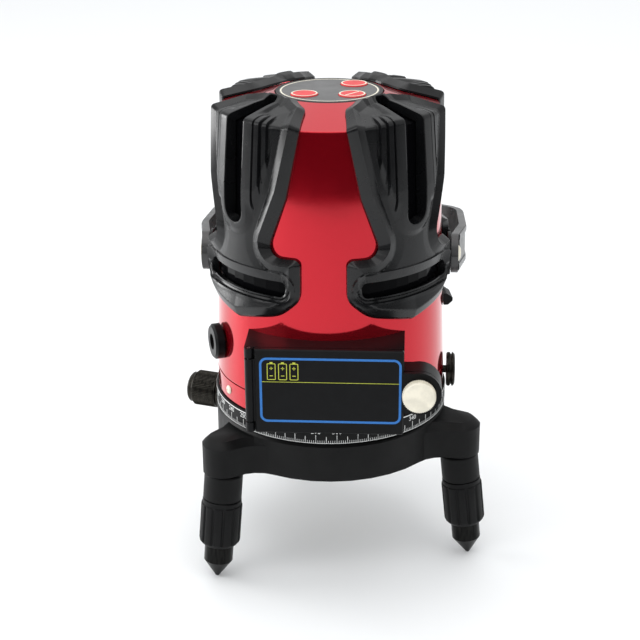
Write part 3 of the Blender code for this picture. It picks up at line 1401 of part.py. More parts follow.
def build_levelling_unit():
    """The gimbal frame, gimbal ring and pendulum with its line modules."""
    frame_top = GIMBAL_Z - RING_DEPTH / 2 - 2 * GAP - TRUNNION_RADIUS
    frame_foot = frame_top - FRAME_THICKNESS
    frame = piece("gimbal_frame", tube(FRAME_INNER, FRAME_OUTER, frame_foot, frame_top), STEEL, TURRET)
    for side, sign in (("left", -1), ("right", 1)):
        column = rod(COLUMN_RADIUS, PLATE_TOP + GAP, frame_foot + FRAME_THICKNESS / 2)
        spot = Matrix.Translation((sign * COLUMN_X, COLUMN_Y, 0))
        near, far = sorted((sign * CHEEK_X, sign * (CHEEK_X - CHEEK_THICKNESS)))
        cheek = block(
            (near, -CHEEK_WIDTH / 2, frame_top - FRAME_THICKNESS / 2),
            (far, CHEEK_WIDTH / 2, GIMBAL_Z + CHEEK_WIDTH / 2),
        )
        join(frame, tool("frame_column_" + side, column, spot), tool("frame_cheek_" + side, cheek))
    hole = rod(TRUNNION_RADIUS + GAP, -FRAME_OUTER, FRAME_OUTER)
    cut(frame, tool("trunnion_hole", hole, along((0, 0, GIMBAL_Z), (1, 0, 0))))
    ring_body = body("gimbal_ring_body", Matrix.Translation((0, 0, GIMBAL_Z)), TURRET)
    half = RING_DEPTH / 2
    hoop = tube(RING_INNER, RING_OUTER, GIMBAL_Z - half, GIMBAL_Z + half)
    ring = piece("gimbal_ring", hoop, STEEL, ring_body)
    middle = (RING_INNER + RING_OUTER) / 2
    for side, sign in (("left", -1), ("right", 1)):
        trunnion = rod(TRUNNION_RADIUS, middle, CHEEK_X)
        join(ring, tool("trunnion_" + side, trunnion, along((0, 0, GIMBAL_Z), (sign, 0, 0))))
    cross_hole = rod(TRUNNION_RADIUS + GAP, -FRAME_OUTER, FRAME_OUTER)
    cut(ring, tool("cross_hole", cross_hole, along((0, 0, GIMBAL_Z), (0, 1, 0))))
    build_pendulum(ring_body)


def build_pendulum(ring_body):
    """The hanging unit: heart in the ring, square post above, stem and bob below."""
    unit = body("pendulum_body", Matrix.Translation((0, 0, GIMBAL_Z)), ring_body)
    half = HEART_DEPTH / 2
    bob_top = GIMBAL_Z - BOB_DROP
    turned_part = [
        (0.0, GIMBAL_Z + half),
        (HEART_RADIUS, GIMBAL_Z + half),
        (HEART_RADIUS, GIMBAL_Z - half),
        (STEM_RADIUS, GIMBAL_Z - half),
        (STEM_RADIUS, bob_top),
        (BOB_RADIUS, bob_top),
        (BOB_RADIUS, bob_top - BOB_HEIGHT),
        (0.0, bob_top - BOB_HEIGHT),
    ]
    pendulum = piece("pendulum", turned(turned_part, closed=False), COPPER, unit)
    post = block((-POST_HALF, -POST_HALF, GIMBAL_Z), (POST_HALF, POST_HALF, GIMBAL_Z + POST_RISE))
    turn = Matrix.Rotation(math.radians(BUMPER_AZIMUTHS["rear_right"]), 4, "Z")
    join(pendulum, tool("pendulum_post", post, turn))
    axle = rod(TRUNNION_RADIUS, -RING_OUTER, RING_OUTER)
    join(pendulum, tool("pendulum_axle", axle, along((0, 0, GIMBAL_Z), (0, 1, 0))))
    level_z = SHELL_FOOT + LEVEL_SLOT_HEIGHT
    reach = STEM_RADIUS + MODULE_LENGTH
    for corner in ("front_left", "front_right"):
        pair = rod(MODULE_RADIUS, -reach, reach)
        place = along((0, 0, level_z), outward(BUMPER_AZIMUTHS[corner]))
        join(pendulum, tool("level_modules_" + corner, pair, place))
    for corner, azimuth in BUMPER_AZIMUTHS.items():
        module = rod(MODULE_RADIUS, POST_HALF + GAP, POST_HALF + GAP + MODULE_LENGTH)
        place = along((0, 0, GIMBAL_Z + MODULE_RISE), outward(azimuth))
        piece("line_module_" + corner, module, STEEL_DARK, unit, place)


build_base()
build_legs()
build_ring_and_bearing()
build_fine_drive()
build_chassis()
build_shell()
build_bumpers()
build_keypad()
build_battery_box()
build_side_fittings()
build_handle()
build_levelling_unit()
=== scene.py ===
# %% [markdown]
# # A laser level on a graduated base
# The part is a drum-shaped turret, lacquered red, with four black corner bumpers that guard its light
# slots. It turns by hand on a round base with a degree scale and stands on three screw feet.
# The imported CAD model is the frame: every piece made here is placed from its boxes, joints and record,
# and rides on one of its bodies, so it moves as the real piece does. Lengths are in metres, angles in
# degrees.

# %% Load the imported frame
import json
import math

import bmesh
import bpy
import numpy as np
from mathutils import Matrix, Vector

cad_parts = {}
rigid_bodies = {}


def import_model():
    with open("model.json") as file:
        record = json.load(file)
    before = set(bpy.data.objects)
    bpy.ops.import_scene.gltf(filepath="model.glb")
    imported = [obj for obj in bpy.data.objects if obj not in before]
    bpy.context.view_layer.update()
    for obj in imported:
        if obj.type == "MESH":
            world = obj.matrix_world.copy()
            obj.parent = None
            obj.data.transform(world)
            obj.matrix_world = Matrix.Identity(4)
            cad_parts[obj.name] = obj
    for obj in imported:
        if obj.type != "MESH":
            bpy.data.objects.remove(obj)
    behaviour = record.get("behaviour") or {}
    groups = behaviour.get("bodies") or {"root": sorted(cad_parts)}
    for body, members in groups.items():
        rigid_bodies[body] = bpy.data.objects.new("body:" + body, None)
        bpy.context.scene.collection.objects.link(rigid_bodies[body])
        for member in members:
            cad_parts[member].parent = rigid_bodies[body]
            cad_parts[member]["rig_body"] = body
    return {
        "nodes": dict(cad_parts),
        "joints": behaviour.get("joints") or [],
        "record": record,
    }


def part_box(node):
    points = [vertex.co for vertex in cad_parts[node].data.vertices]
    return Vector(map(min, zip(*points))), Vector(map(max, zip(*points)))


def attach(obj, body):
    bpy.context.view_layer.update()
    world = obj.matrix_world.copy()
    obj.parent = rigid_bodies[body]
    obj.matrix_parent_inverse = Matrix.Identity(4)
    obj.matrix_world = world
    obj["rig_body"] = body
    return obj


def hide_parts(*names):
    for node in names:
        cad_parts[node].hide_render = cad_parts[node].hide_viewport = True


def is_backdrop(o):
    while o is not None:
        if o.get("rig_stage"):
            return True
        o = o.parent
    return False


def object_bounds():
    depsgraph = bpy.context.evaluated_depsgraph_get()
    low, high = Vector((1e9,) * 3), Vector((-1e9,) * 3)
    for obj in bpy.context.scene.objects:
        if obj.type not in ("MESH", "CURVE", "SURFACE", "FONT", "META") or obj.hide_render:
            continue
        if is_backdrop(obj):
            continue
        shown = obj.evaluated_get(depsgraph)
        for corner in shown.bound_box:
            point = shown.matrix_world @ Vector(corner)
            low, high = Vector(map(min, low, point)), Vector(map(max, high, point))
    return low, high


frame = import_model()
cad_low, cad_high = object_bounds()
joints = {joint["name"]: joint for joint in frame["joints"]}

# %% [markdown]
# ## Camera
# The photograph looks down on the level from a little above the door. A camera can be set by eye, but
# here it was worked out: the round keypad ring, the round scale and two foot tips fix the lens, the
# height, the tilt and a slight roll. The values are the result of that fit.

# %% Camera at the photograph's viewpoint
LENS = 81.73
SENSOR = 36.0
EYE = Vector((0.0337, -0.6054, 0.3496))
HEADING = 3.63
TILT_DOWN = 21.90
ROLL = -0.43


def standing(name, data):
    """An object in the scene that shows some data."""
    made = bpy.data.objects.new(name, data)
    bpy.context.scene.collection.objects.link(made)
    return made


def turned(degrees, axis):
    """A rotation about an axis."""
    return Matrix.Rotation(math.radians(degrees), 4, axis)


camera_data = bpy.data.cameras.new("photo_camera")
camera_data.lens = LENS
camera_data.sensor_width = SENSOR
camera = standing("photo_camera", camera_data)
aim = turned(HEADING, "Z") @ turned(90.0 - TILT_DOWN, "X") @ turned(ROLL, "Z")
camera.matrix_world = Matrix.Translation(EYE) @ aim
bpy.context.scene.camera = camera
print("camera:", LENS, "mm lens,", round(EYE.length, 3), "m from the plumb point")

# %% [markdown]
# ## Shader tools
# No surface of the level is one flat colour. Each finish is a Principled shader whose colour, roughness
# and bump move a little with noise at the size that the real surface shows: mica flakes in the lacquer,
# fine spark grain on moulded plastic, coarser grain in the coating of the base, and streaks on metal.
# All of them read Object coordinates, which stay fixed to the piece when it moves. A node could be added
# and linked line by line, but one helper that takes a node's inputs as a table is easier to read.

# %% Shader helpers
COAT_ROUGHNESS = 0.06
NOISE_RANGE = (0.3, 0.7)
RAMP_ENDS = (0.35, 0.65)


def wired(tree, kind, inputs=(), operation=None):
    """A node with links or constants on its inputs; gives its outputs."""
    node = tree.nodes.new(kind)
    if operation:
        node.operation = operation
    for socket, value in dict(inputs).items():
        if isinstance(value, bpy.types.NodeSocket):
            tree.links.new(value, node.inputs[socket])
        else:
            node.inputs[socket].default_value = value
    return node.outputs


def shader_input(look, socket):
    """An input of a material's Principled shader."""
    return look.node_tree.nodes["Principled BSDF"].inputs[socket]


def finish(name, colour, roughness, metallic=0.0, coat=0.0, specular=0.5, sheen=1.0):
    """A Principled material with its constants set on the shader's own sockets."""
    look = bpy.data.materials.new(name)
    look.use_nodes = True
    constants = {
        "Base Color": (*colour, 1.0),
        "Roughness": roughness,
        "Metallic": metallic,
        "Specular IOR Level": specular,
        "Specular Tint": (sheen, sheen, sheen, 1.0),
        "Coat Weight": coat,
        "Coat Roughness": COAT_ROUGHNESS,
    }
    for socket, value in constants.items():
        shader_input(look, socket).default_value = value
    return look


def noise(look, scale, detail=2.0, stretch=(1.0, 1.0, 1.0)):
    """Noise on Object coordinates, at a number of cells per metre."""
    tree = look.node_tree
    spot = wired(tree, "ShaderNodeTexCoord")["Object"]
    spot = wired(tree, "ShaderNodeMapping", {"Vector": spot, "Scale": stretch})[0]
    return wired(tree, "ShaderNodeTexNoise", {"Vector": spot, "Scale": scale, "Detail": detail})["Fac"]


def vary_roughness(look, source, low, high):
    """Let the roughness follow a noise."""
    weak, strong = NOISE_RANGE
    span = wired(look.node_tree, "ShaderNodeMapRange", {
        "Value": source, "From Min": weak, "From Max": strong, "To Min": low, "To Max": high,
    })
    look.node_tree.links.new(span["Result"], shader_input(look, "Roughness"))


def vary_colour(look, source, dark, light):
    """Let the colour follow a noise between two colours."""
    tree = look.node_tree
    ramp = tree.nodes.new("ShaderNodeValToRGB")
    for stop, position, colour in zip(ramp.color_ramp.elements, RAMP_ENDS, (dark, light)):
        stop.position = position
        stop.color = (*colour, 1.0)
    tree.links.new(source, ramp.inputs["Fac"])
    tree.links.new(ramp.outputs["Color"], shader_input(look, "Base Color"))


def roughen(look, source, height):
    """Let a noise raise the surface by a height in metres."""
    bump = wired(look.node_tree, "ShaderNodeBump", {"Height": source, "Strength": 1.0, "Distance": height})
    look.node_tree.links.new(bump["Normal"], shader_input(look, "Normal"))


print("shader helpers: noise, roughness, colour and bump")

# %% [markdown]
# ## Stage and light
# The level stands on a white table. The table could run on for ever, but the red wall of the turret is
# a mirror that looks at it: in the photograph its lower part shows the white table and its upper part
# the dark room beyond the table's near edge. That border is level in the photograph, so the table's
# edge is rounded about the level and ends a little behind the camera, and a dark screen stands there
# that only reflections can see.

# %% Table and dark screen
TABLE_NEAR = 0.775
TABLE_FAR = 4.0
TABLE_HALF = 3.0
TABLE_BOW = 40
BOW_STEP = 4
SCREEN_HEIGHT = 0.34
WHITE_TABLE = finish("white_table", (0.86, 0.87, 0.875), 0.55, specular=0.2)
DARK_ROOM = finish("dark_room", (0.01, 0.01, 0.01), 0.9, specular=0.2)


def stage_sheet(name, corners, faces, look):
    """A stage piece from its corners."""
    mesh = bpy.data.meshes.new(name)
    mesh.from_pydata(corners, [], faces)
    mesh.materials.append(look)
    sheet = standing(name, mesh)
    sheet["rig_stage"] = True
    return sheet


bow = [math.radians(turn) for turn in range(-TABLE_BOW, TABLE_BOW + 1, BOW_STEP)]
near_edge = [(TABLE_NEAR * math.sin(turn), -TABLE_NEAR * math.cos(turn)) for turn in bow]
near_edge = [(-TABLE_HALF, near_edge[0][1])] + near_edge + [(TABLE_HALF, near_edge[0][1])]
edge_count = len(near_edge)
table_corners = near_edge + [(TABLE_HALF, TABLE_FAR), (-TABLE_HALF, TABLE_FAR)]
stage_sheet("table", [(x, y, 0.0) for x, y in table_corners], [range(edge_count + 2)], WHITE_TABLE)
screen = stage_sheet(
    "dark_screen",
    [(x, y, level) for level in (-SCREEN_HEIGHT, SCREEN_HEIGHT) for x, y in near_edge],
    [(i, i + 1, i + 1 + edge_count, i + edge_count) for i in range(edge_count - 1)],
    DARK_ROOM,
)
for ray in ("camera", "diffuse", "transmission", "shadow"):
    setattr(screen, "visible_" + ray, False)
print("stage: table from", -TABLE_NEAR, "to", TABLE_FAR, "m, edge of", edge_count, "points")

# %% [markdown]
# Four soft lamps give the light: one overhead, a low one on the left for the edges of the bumpers, one
# at the front, and one for the far end of the table. The world fills the shadows. It has one strength
# for the light that it gives and another for what the camera and the reflections see of it.

# %% World and lamps
ROOM_COLOUR = (0.90, 0.91, 0.92)
ROOM_LIGHT = 1.04
ROOM_SEEN = 0.8
# Each lamp has its place, the point that it looks at, its width and height, and its power in watts.
LAMPS = {
    "overhead_lamp": ((-0.10, -0.05, 1.15), (0, 0, 0.1), (1.2, 0.9), 5.2),
    "left_lamp": ((-1.0, 0.24, 0.22), (0, 0, 0.16), (0.5, 0.36), 5.0),
    "front_lamp": ((-0.9, -0.55, 0.55), (0, 0, 0.12), (0.6, 0.8), 2.5),
    "far_lamp": ((0, 1.5, 1.6), (0, 1.5, 0), (3.0, 1.6), 6.5),
}


def soft_lamp(name, place, target, size, watts):
    """A rectangular soft lamp that looks at a point."""
    data = bpy.data.lights.new(name, "AREA")
    data.shape = "RECTANGLE"
    data.size, data.size_y = size
    data.energy = watts
    turn = (Vector(target) - Vector(place)).to_track_quat("-Z", "Y")
    standing(name, data).matrix_world = Matrix.Translation(place) @ turn.to_matrix().to_4x4()


world = bpy.data.worlds.new("studio")
bpy.context.scene.world = world
world.use_nodes = True
studio = world.node_tree
studio.nodes.clear()
rays = wired(studio, "ShaderNodeLightPath")
bent_rays = {0: rays["Is Glossy Ray"], 1: rays["Is Transmission Ray"]}
bent = wired(studio, "ShaderNodeMath", bent_rays, "MAXIMUM")
seen = wired(studio, "ShaderNodeMath", {0: rays["Is Camera Ray"], 1: bent[0]}, "MAXIMUM")
strength = wired(studio, "ShaderNodeMapRange", {"Value": seen[0], "To Min": ROOM_LIGHT, "To Max": ROOM_SEEN})
sky = wired(studio, "ShaderNodeBackground", {"Color": (*ROOM_COLOUR, 1.0), "Strength": strength["Result"]})
wired(studio, "ShaderNodeOutputWorld", {"Surface": sky[0]})
for name, lamp in LAMPS.items():
    soft_lamp(name, *lamp)
bpy.context.scene.view_settings.view_transform = "Standard"
print("light:", len(LAMPS), "soft lamps and a pale world")

# %% [markdown]
# ## Finishes
# The lacquer is a candy red: a metallic red under a clear coat. A plain red plastic would stay equally
# red all round, but the real wall swings from bright to nearly black with what it mirrors. The black
# mouldings differ from each other in gloss and grain, and each metal in its streaks.

# %% The finishes of this object


def red_lacquer():
    """Metallic red under a clear coat, with mica flakes."""
    look = finish("red_lacquer", (0.55, 0.004, 0.017), 0.12, 0.82, 0.5)
    vary_colour(look, noise(look, 5200.0, 1.0), (0.50, 0.003, 0.013), (0.60, 0.006, 0.021))
    vary_roughness(look, noise(look, 60.0), 0.07, 0.10)
    return look


def moulded(name, colour, low, high, grain, depth, specular=0.5, sheen=1.0):
    """Moulded plastic: roughness from low to high, mould grain in cells per metre and its depth."""
    look = finish(name, colour, low, specular=specular, sheen=sheen)
    roughen(look, noise(look, grain), depth)
    vary_roughness(look, noise(look, 90.0, 3.0), low, high)
    lighter = tuple(min(channel * 1.2, 0.9) for channel in colour)
    vary_colour(look, noise(look, 240.0, 3.0), colour, lighter)
    return look


def plated(name, dark, light, low, high):
    """Turned and plated metal with faint streaks."""
    look = finish(name, light, low, 1.0)
    streaks = noise(look, 900.0, stretch=(1.0, 1.0, 0.15))
    vary_colour(look, streaks, dark, light)
    vary_roughness(look, streaks, low, high)
    return look


def ink(name, colour):
    """Printed ink, slightly uneven in cover."""
    look = finish(name, colour, 0.5)
    vary_colour(look, noise(look, 1500.0), tuple(channel * 0.86 for channel in colour), colour)
    return look


def window_glass():
    """Nearly black glass behind the light slots."""
    look = finish("dark_window", (0.002, 0.002, 0.0025), 0.10, specular=0.08, sheen=0.35)
    vary_roughness(look, noise(look, 120.0), 0.08, 0.14)
    return look


RED = red_lacquer()
WINDOW = window_glass()
BUMPER_BLACK = moulded("bumper_black", (0.0045, 0.0047, 0.0052), 0.22, 0.30, 4200.0, 0.000006, 0.34)
CASE_BLACK = moulded("case_black", (0.0040, 0.0042, 0.0047), 0.34, 0.44, 3600.0, 0.000008, 0.30, 0.4)
HANDLE_GREY = moulded("handle_grey", (0.030, 0.0304, 0.031), 0.26, 0.36, 2400.0, 0.00001, 0.6)
BASE_BLACK = moulded("base_black", (0.0030, 0.0031, 0.0033), 0.44, 0.56, 1700.0, 0.00004, 0.18)
CREAM = moulded("cream_plate", (0.70, 0.66, 0.55), 0.34, 0.44, 900.0, 0.000004, 0.4)
KEYPAD_GREY = moulded("keypad_grey", (0.105, 0.105, 0.105), 0.42, 0.52, 2600.0, 0.000008)
KEY_RED = moulded("key_red", (0.62, 0.030, 0.034), 0.36, 0.46, 2600.0, 0.000008)
BOARD = moulded("board_green", (0.018, 0.13, 0.06), 0.36, 0.50, 900.0, 0.00002)
CELL_SLEEVE = moulded("cell_sleeve", (0.045, 0.09, 0.26), 0.22, 0.30, 500.0, 0.000006)
DARK_METAL = plated("dark_metal", (0.018, 0.017, 0.015), (0.046, 0.043, 0.037), 0.26, 0.40)
BLACK_METAL = plated("black_metal", (0.010, 0.010, 0.0098), (0.020, 0.0198, 0.019), 0.30, 0.42)
BRASS = plated("brass", (0.52, 0.37, 0.15), (0.70, 0.54, 0.27), 0.24, 0.36)
STEEL = plated("steel", (0.42, 0.42, 0.43), (0.62, 0.62, 0.63), 0.25, 0.38)
COPPER = plated("pendulum_metal", (0.48, 0.26, 0.14), (0.64, 0.38, 0.22), 0.28, 0.40)
# The same white also paints the highlights along the scale ring's edges.
WHITE_PRINT_AND_HIGHLIGHT = ink("white_print_and_highlight", (0.80, 0.81, 0.80))
CREAM_INK = ink("cream_ink", (0.84, 0.80, 0.66))
BLUE_INK = ink("blue_ink", (0.012, 0.155, 0.50))
LIME_INK = ink("lime_ink", (0.52, 0.56, 0.05))
BLACK_INK = ink("black_ink", (0.012, 0.012, 0.012))
slot_looks = {
    "red_lacquer": RED,
    "black_rubber_plastic": CASE_BLACK,
    "base_black": BASE_BLACK,
    "dark_metal": DARK_METAL,
    "steel": STEEL,
    "brass": BRASS,
    "pendulum_metal": COPPER,
    "cream_metal": CREAM,
    "keypad_grey": KEYPAD_GREY,
    "dark_window": WINDOW,
    "board_green": BOARD,
    "cell_jacket": CELL_SLEEVE,
}
node_slots = {part["node"]: part["material_slot"] for part in frame["record"]["subparts"]}
for name, slot in node_slots.items():
    materials = frame["nodes"][name].data.materials
    materials.clear()
    materials.append(slot_looks[slot])
print("finishes:", len(slot_looks), "slots given to", len(node_slots), "nodes, five inks")

# %% [markdown]
# ## Tools for making pieces
# Every finished piece is a plain mesh with one material. It rides on a body of the frame, and where it
# takes the place of a CAD node, that node is hidden. Smooth shading alone would smear the light over an
# eased corner and tilt the wall beside it, so the normals are weighted by the size of the faces.

# %% Pieces and their shading
SHARP = 32.0


def smooth(mesh, sharp=SHARP):
    """Smooth shading, with sharp edges over an angle."""
    mesh.shade_smooth()
    mesh.set_sharp_from_angle(angle=math.radians(sharp))
    return mesh


def meshed(name, work, sharp=SHARP):
    """A smooth mesh from a bmesh."""
    mesh = bpy.data.meshes.new(name)
    work.to_mesh(mesh)
    work.free()
    return smooth(mesh, sharp)


def carried_out(holder, *helpers):
    """The mesh of an object with its modifiers carried out; the objects are then removed."""
    bpy.context.view_layer.update()
    graph = bpy.context.evaluated_depsgraph_get()
    mesh = bpy.data.meshes.new_from_object(holder.evaluated_get(graph))
    for used in (holder, *helpers):
        bpy.data.objects.remove(used)
    return mesh


def weighted(mesh):
    """Shading that follows the large faces."""
    holder = standing("weighted", mesh)
    holder.modifiers.new("weight", "WEIGHTED_NORMAL").keep_sharp = True
    return carried_out(holder)


def joined(name, meshes, sharp=SHARP):
    """One mesh from several."""
    work = bmesh.new()
    for mesh in meshes:
        work.from_mesh(mesh)
    return weighted(meshed(name, work, sharp))


def piece(name, mesh, look, body, stands_for=()):
    """A finished piece that rides on a body."""
    mesh.materials.clear()
    mesh.materials.append(look)
    made = standing(name, mesh)
    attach(made, body)
    if stands_for:
        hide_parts(*stands_for)
    return made


def placed(mesh, matrix):
    """Put a mesh in its place."""
    mesh.transform(matrix)
    return mesh


def along(origin, direction):
    """A placement with its Z axis along a direction."""
    turn = Vector(direction).to_track_quat("Z", "Y").to_matrix().to_4x4()
    return Matrix.Translation(origin) @ turn


def joint_place(name):
    """A placement at a joint, with its Z axis along the joint's axis."""
    return along(joints[name]["pos_m"], joints[name]["axis"])


def upright(y, z=0.0):
    """A placement that stands a flat drawing up, with its face to the front."""
    return Matrix(((1, 0, 0, 0), (0, 0, -1, y), (0, 1, 0, z), (0, 0, 0, 1)))


print("tools: shading, joining, placing")

# %% [markdown]
# Most visible pieces are either turned, like the knobs, or flat outlines with a thickness, like the
# printed lines. The CAD solids have few facets, so a turned piece is spun again here with many steps
# and with its corners eased, because a real edge always catches a thin line of light. What isn't turned
# is a loft: a row of loops with as many points each, joined one to the next.

# %% Turning, outlines and lofts
WELD = 0.000001
SPIN_STEPS = 64
EASE = 0.0001
EASE_STEPS = 3
EASE_SHARE = 0.45
NEARLY_STRAIGHT = math.radians(89.0)


def eased(profile, radius, closed):
    """Round the corners of a (radius, height) profile, as far as its edges allow."""
    points = [Vector(point) for point in profile]
    last = len(points) - 1
    result = []
    for index, here in enumerate(points):
        if not closed and index in (0, last):
            result.append(here)
            continue
        back = points[index - 1] - here
        ahead = points[(index + 1) % len(points)] - here
        half = back.angle(ahead) / 2
        reach = min(radius / math.tan(half), EASE_SHARE * back.length, EASE_SHARE * ahead.length)
        start = here + back.normalized() * reach
        end = here + ahead.normalized() * reach
        for step in range(EASE_STEPS + 1):
            share = step / EASE_STEPS
            result.append(start.lerp(here, share).lerp(here.lerp(end, share), share))
    return result


def spun(name, profile, ease=EASE, steps=SPIN_STEPS):
    """A turned mesh about Z from (radius, height) points; a profile that starts on the axis is open."""
    closed = profile[0][0] > 0.0
    outline = eased(profile, ease, closed) if ease else profile
    work = bmesh.new()
    verts = [work.verts.new((radius, 0.0, height)) for radius, height in outline]
    pairs = list(zip(verts, verts[1:]))
    if closed:
        pairs.append((verts[-1], verts[0]))
    line = verts + [work.edges.new(pair) for pair in pairs]
    full = {"cent": (0, 0, 0), "axis": (0, 0, 1), "angle": 2 * math.pi, "use_merge": True}
    bmesh.ops.spin(work, geom=line, steps=steps, **full)
    bmesh.ops.remove_doubles(work, verts=work.verts, dist=WELD)
    bmesh.ops.recalc_face_normals(work, faces=work.faces)
    return weighted(meshed(name, work))


def rounded(corners, steps=6):
    """An outline from (x, y, radius) corners, with an arc in place of each corner."""
    outline = []
    count = len(corners)
    for index, (x, y, radius) in enumerate(corners):
        here = Vector((x, y))
        back = (Vector(corners[index - 1][:2]) - here).normalized()
        ahead = (Vector(corners[(index + 1) % count][:2]) - here).normalized()
        half = back.angle(ahead) / 2
        if radius <= 0.0 or half > NEARLY_STRAIGHT:
            outline.append(here)
            continue
        centre = here + (back + ahead).normalized() * radius / math.sin(half)
        start = here + back * radius / math.tan(half) - centre
        sweep = start.angle_signed(here + ahead * radius / math.tan(half) - centre)
        for step in range(steps + 1):
            outline.append(centre + Matrix.Rotation(-sweep * step / steps, 2) @ start)
    return outline


def mirrored(half):
    """Both sides of an outline drawn up its right side."""
    return half + [(-x, y, radius) for x, y, radius in reversed(half) if x > 0.0]


def rectangle(left, low, right, high, radius=0.0):
    """The outline of a rectangle with round corners, anticlockwise."""
    return rounded([(left, low, radius), (right, low, radius), (right, high, radius), (left, high, radius)])


def circle(radius, steps):
    """Points of a circle."""
    turns = [2 * math.pi * step / steps for step in range(steps)]
    return [(radius * math.cos(turn), radius * math.sin(turn)) for turn in turns]


def lofted(name, loops, ring=False, sharp=SHARP):
    """A closed mesh over a row of loops, which is itself a ring or has a face at each end."""
    work = bmesh.new()
    rows = [[work.verts.new(point) for point in loop] for loop in loops]
    for first, second in zip(rows, rows[1:] + rows[:1] if ring else rows[1:]):
        for index in range(len(first)):
            after = (index + 1) % len(first)
            work.faces.new((first[index], first[after], second[after], second[index]))
    if not ring:
        work.faces.new(rows[0])
        work.faces.new(rows[-1])
    bmesh.ops.recalc_face_normals(work, faces=work.faces)
    return meshed(name, work, sharp)


def flat_ring(name, outer, inner, thickness):
    """A flat closed band between two outlines that have as many points, from Z = 0 up."""
    levels = ((outer, 0.0), (outer, thickness), (inner, thickness), (inner, 0.0))
    return lofted(name, [[(x, y, height) for x, y in outline] for outline, height in levels], ring=True)


def flat_plate(name, outline, thickness):
    """A flat closed plate of an outline, from Z = 0 up."""
    return lofted(name, [[(x, y, height) for x, y in outline] for height in (0.0, thickness)])


print("tools: turning, outlines, lofts")

# %% [markdown]
# A CAD node whose shape is already right is copied, welded and given a small bevel. The copy stands for
# the node, which stays in the frame for collisions. A Bevel modifier limited by angle rounds only the
# real edges and leaves the facets of round walls to smooth shading.

# %% Softened copies of CAD nodes
FLAT = math.radians(0.6)
BEVEL_SEGMENTS = 3


def softened(node, look, width=0.0, sharp=SHARP):
    """A copy of a CAD node with its edges rounded."""
    source = frame["nodes"][node]
    work = bmesh.new()
    work.from_mesh(source.data)
    bmesh.ops.remove_doubles(work, verts=work.verts, dist=5 * WELD)
    bmesh.ops.dissolve_limit(work, angle_limit=FLAT, verts=work.verts, edges=work.edges)
    mesh = meshed(node + "_copy", work, sharp)
    if width:
        holder = standing(node + "_copy", mesh)
        bevel = holder.modifiers.new("edges", "BEVEL")
        bevel.width = width
        bevel.segments = BEVEL_SEGMENTS
        bevel.limit_method = "ANGLE"
        bevel.angle_limit = math.radians(sharp)
        bevel.miter_outer = "MITER_ARC"
        mesh = weighted(smooth(carried_out(holder), sharp))
    return piece(node + "_finished", mesh, look, source["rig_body"], (node,))


print("softened copies: weld, dissolve, bevel of", BEVEL_SEGMENTS, "segments")

# %% [markdown]
# ## What repeats round an axis
# The scale's ticks, the ribs of the knurled knobs and the screws of the band all stand in a circle.
# They could be copied in a loop, but one Geometry Nodes tree does all of them: it lays points round the
# axis by their index, puts a small shape on each, turned outward, realises the copies and gives them
# their material. Its sizes are named inputs.

# %% The round pattern tree
PATTERN_INPUTS = {
    "Count": "NodeSocketInt",
    "Radius": "NodeSocketFloat",
    "Height": "NodeSocketFloat",
    "Start": "NodeSocketFloat",
    "Step": "NodeSocketFloat",
    "Shape": "NodeSocketObject",
    "Look": "NodeSocketMaterial",
}


def pattern_tree():
    """A node tree that repeats a shape round the Z axis."""
    tree = bpy.data.node_groups.new("round_pattern", "GeometryNodeTree")
    for name, kind in PATTERN_INPUTS.items():
        tree.interface.new_socket(name=name, in_out="INPUT", socket_type=kind)
    tree.interface.new_socket(name="Geometry", in_out="OUTPUT", socket_type="NodeSocketGeometry")
    given = wired(tree, "NodeGroupInput")
    index = wired(tree, "GeometryNodeInputIndex")[0]
    angle = wired(tree, "ShaderNodeMath", {0: index, 1: given["Step"], 2: given["Start"]}, "MULTIPLY_ADD")[0]
    spot = {"Z": given["Height"]}
    for axis, operation in (("X", "COSINE"), ("Y", "SINE")):
        wave = wired(tree, "ShaderNodeMath", {0: angle}, operation)[0]
        spot[axis] = wired(tree, "ShaderNodeMath", {0: wave, 1: given["Radius"]}, "MULTIPLY")[0]
    place = wired(tree, "ShaderNodeCombineXYZ", spot)[0]
    turn = wired(tree, "ShaderNodeCombineXYZ", {"Z": angle})[0]
    points = wired(tree, "GeometryNodePoints", {"Count": given["Count"], "Position": place})[0]
    shape = wired(tree, "GeometryNodeObjectInfo", {"Object": given["Shape"]})["Geometry"]
    copies = wired(tree, "GeometryNodeInstanceOnPoints", {
        "Points": points, "Instance": shape, "Rotation": turn,
    })[0]
    solid = wired(tree, "GeometryNodeRealizeInstances", {0: copies})[0]
    coated = wired(tree, "GeometryNodeSetMaterial", {"Geometry": solid, "Material": given["Look"]})[0]
    wired(tree, "NodeGroupOutput", {0: coated})
    return tree


ROUND_PATTERN = pattern_tree()


def round_pattern(name, shape, look, count, radius, height=0.0, start=0.0, step=None):
    """The plain mesh of a shape repeated round Z, over a full circle unless a step is given."""
    model = bpy.data.objects.new(name + "_shape", shape)
    host = standing(name, bpy.data.meshes.new(name))
    pattern = host.modifiers.new("pattern", "NODES")
    pattern.node_group = ROUND_PATTERN
    values = {
        "Count": count,
        "Radius": radius,
        "Height": height,
        "Start": math.radians(start),
        "Step": math.radians(360.0 / count if step is None else step),
        "Shape": model,
        "Look": look,
    }
    for socket in ROUND_PATTERN.interface.items_tree:
        if socket.in_out == "INPUT":
            pattern[socket.identifier] = values[socket.name]
    return carried_out(host, model)


print("round pattern:", len(ROUND_PATTERN.nodes), "nodes in the tree")

# %% [markdown]
# ## The skin of the housing
# The turret's wall leans in a little and ends in a shallow cone. The bumpers follow it, so they are
# drawn flat and bent round it: u runs round the wall and v runs up it and over the shoulder.

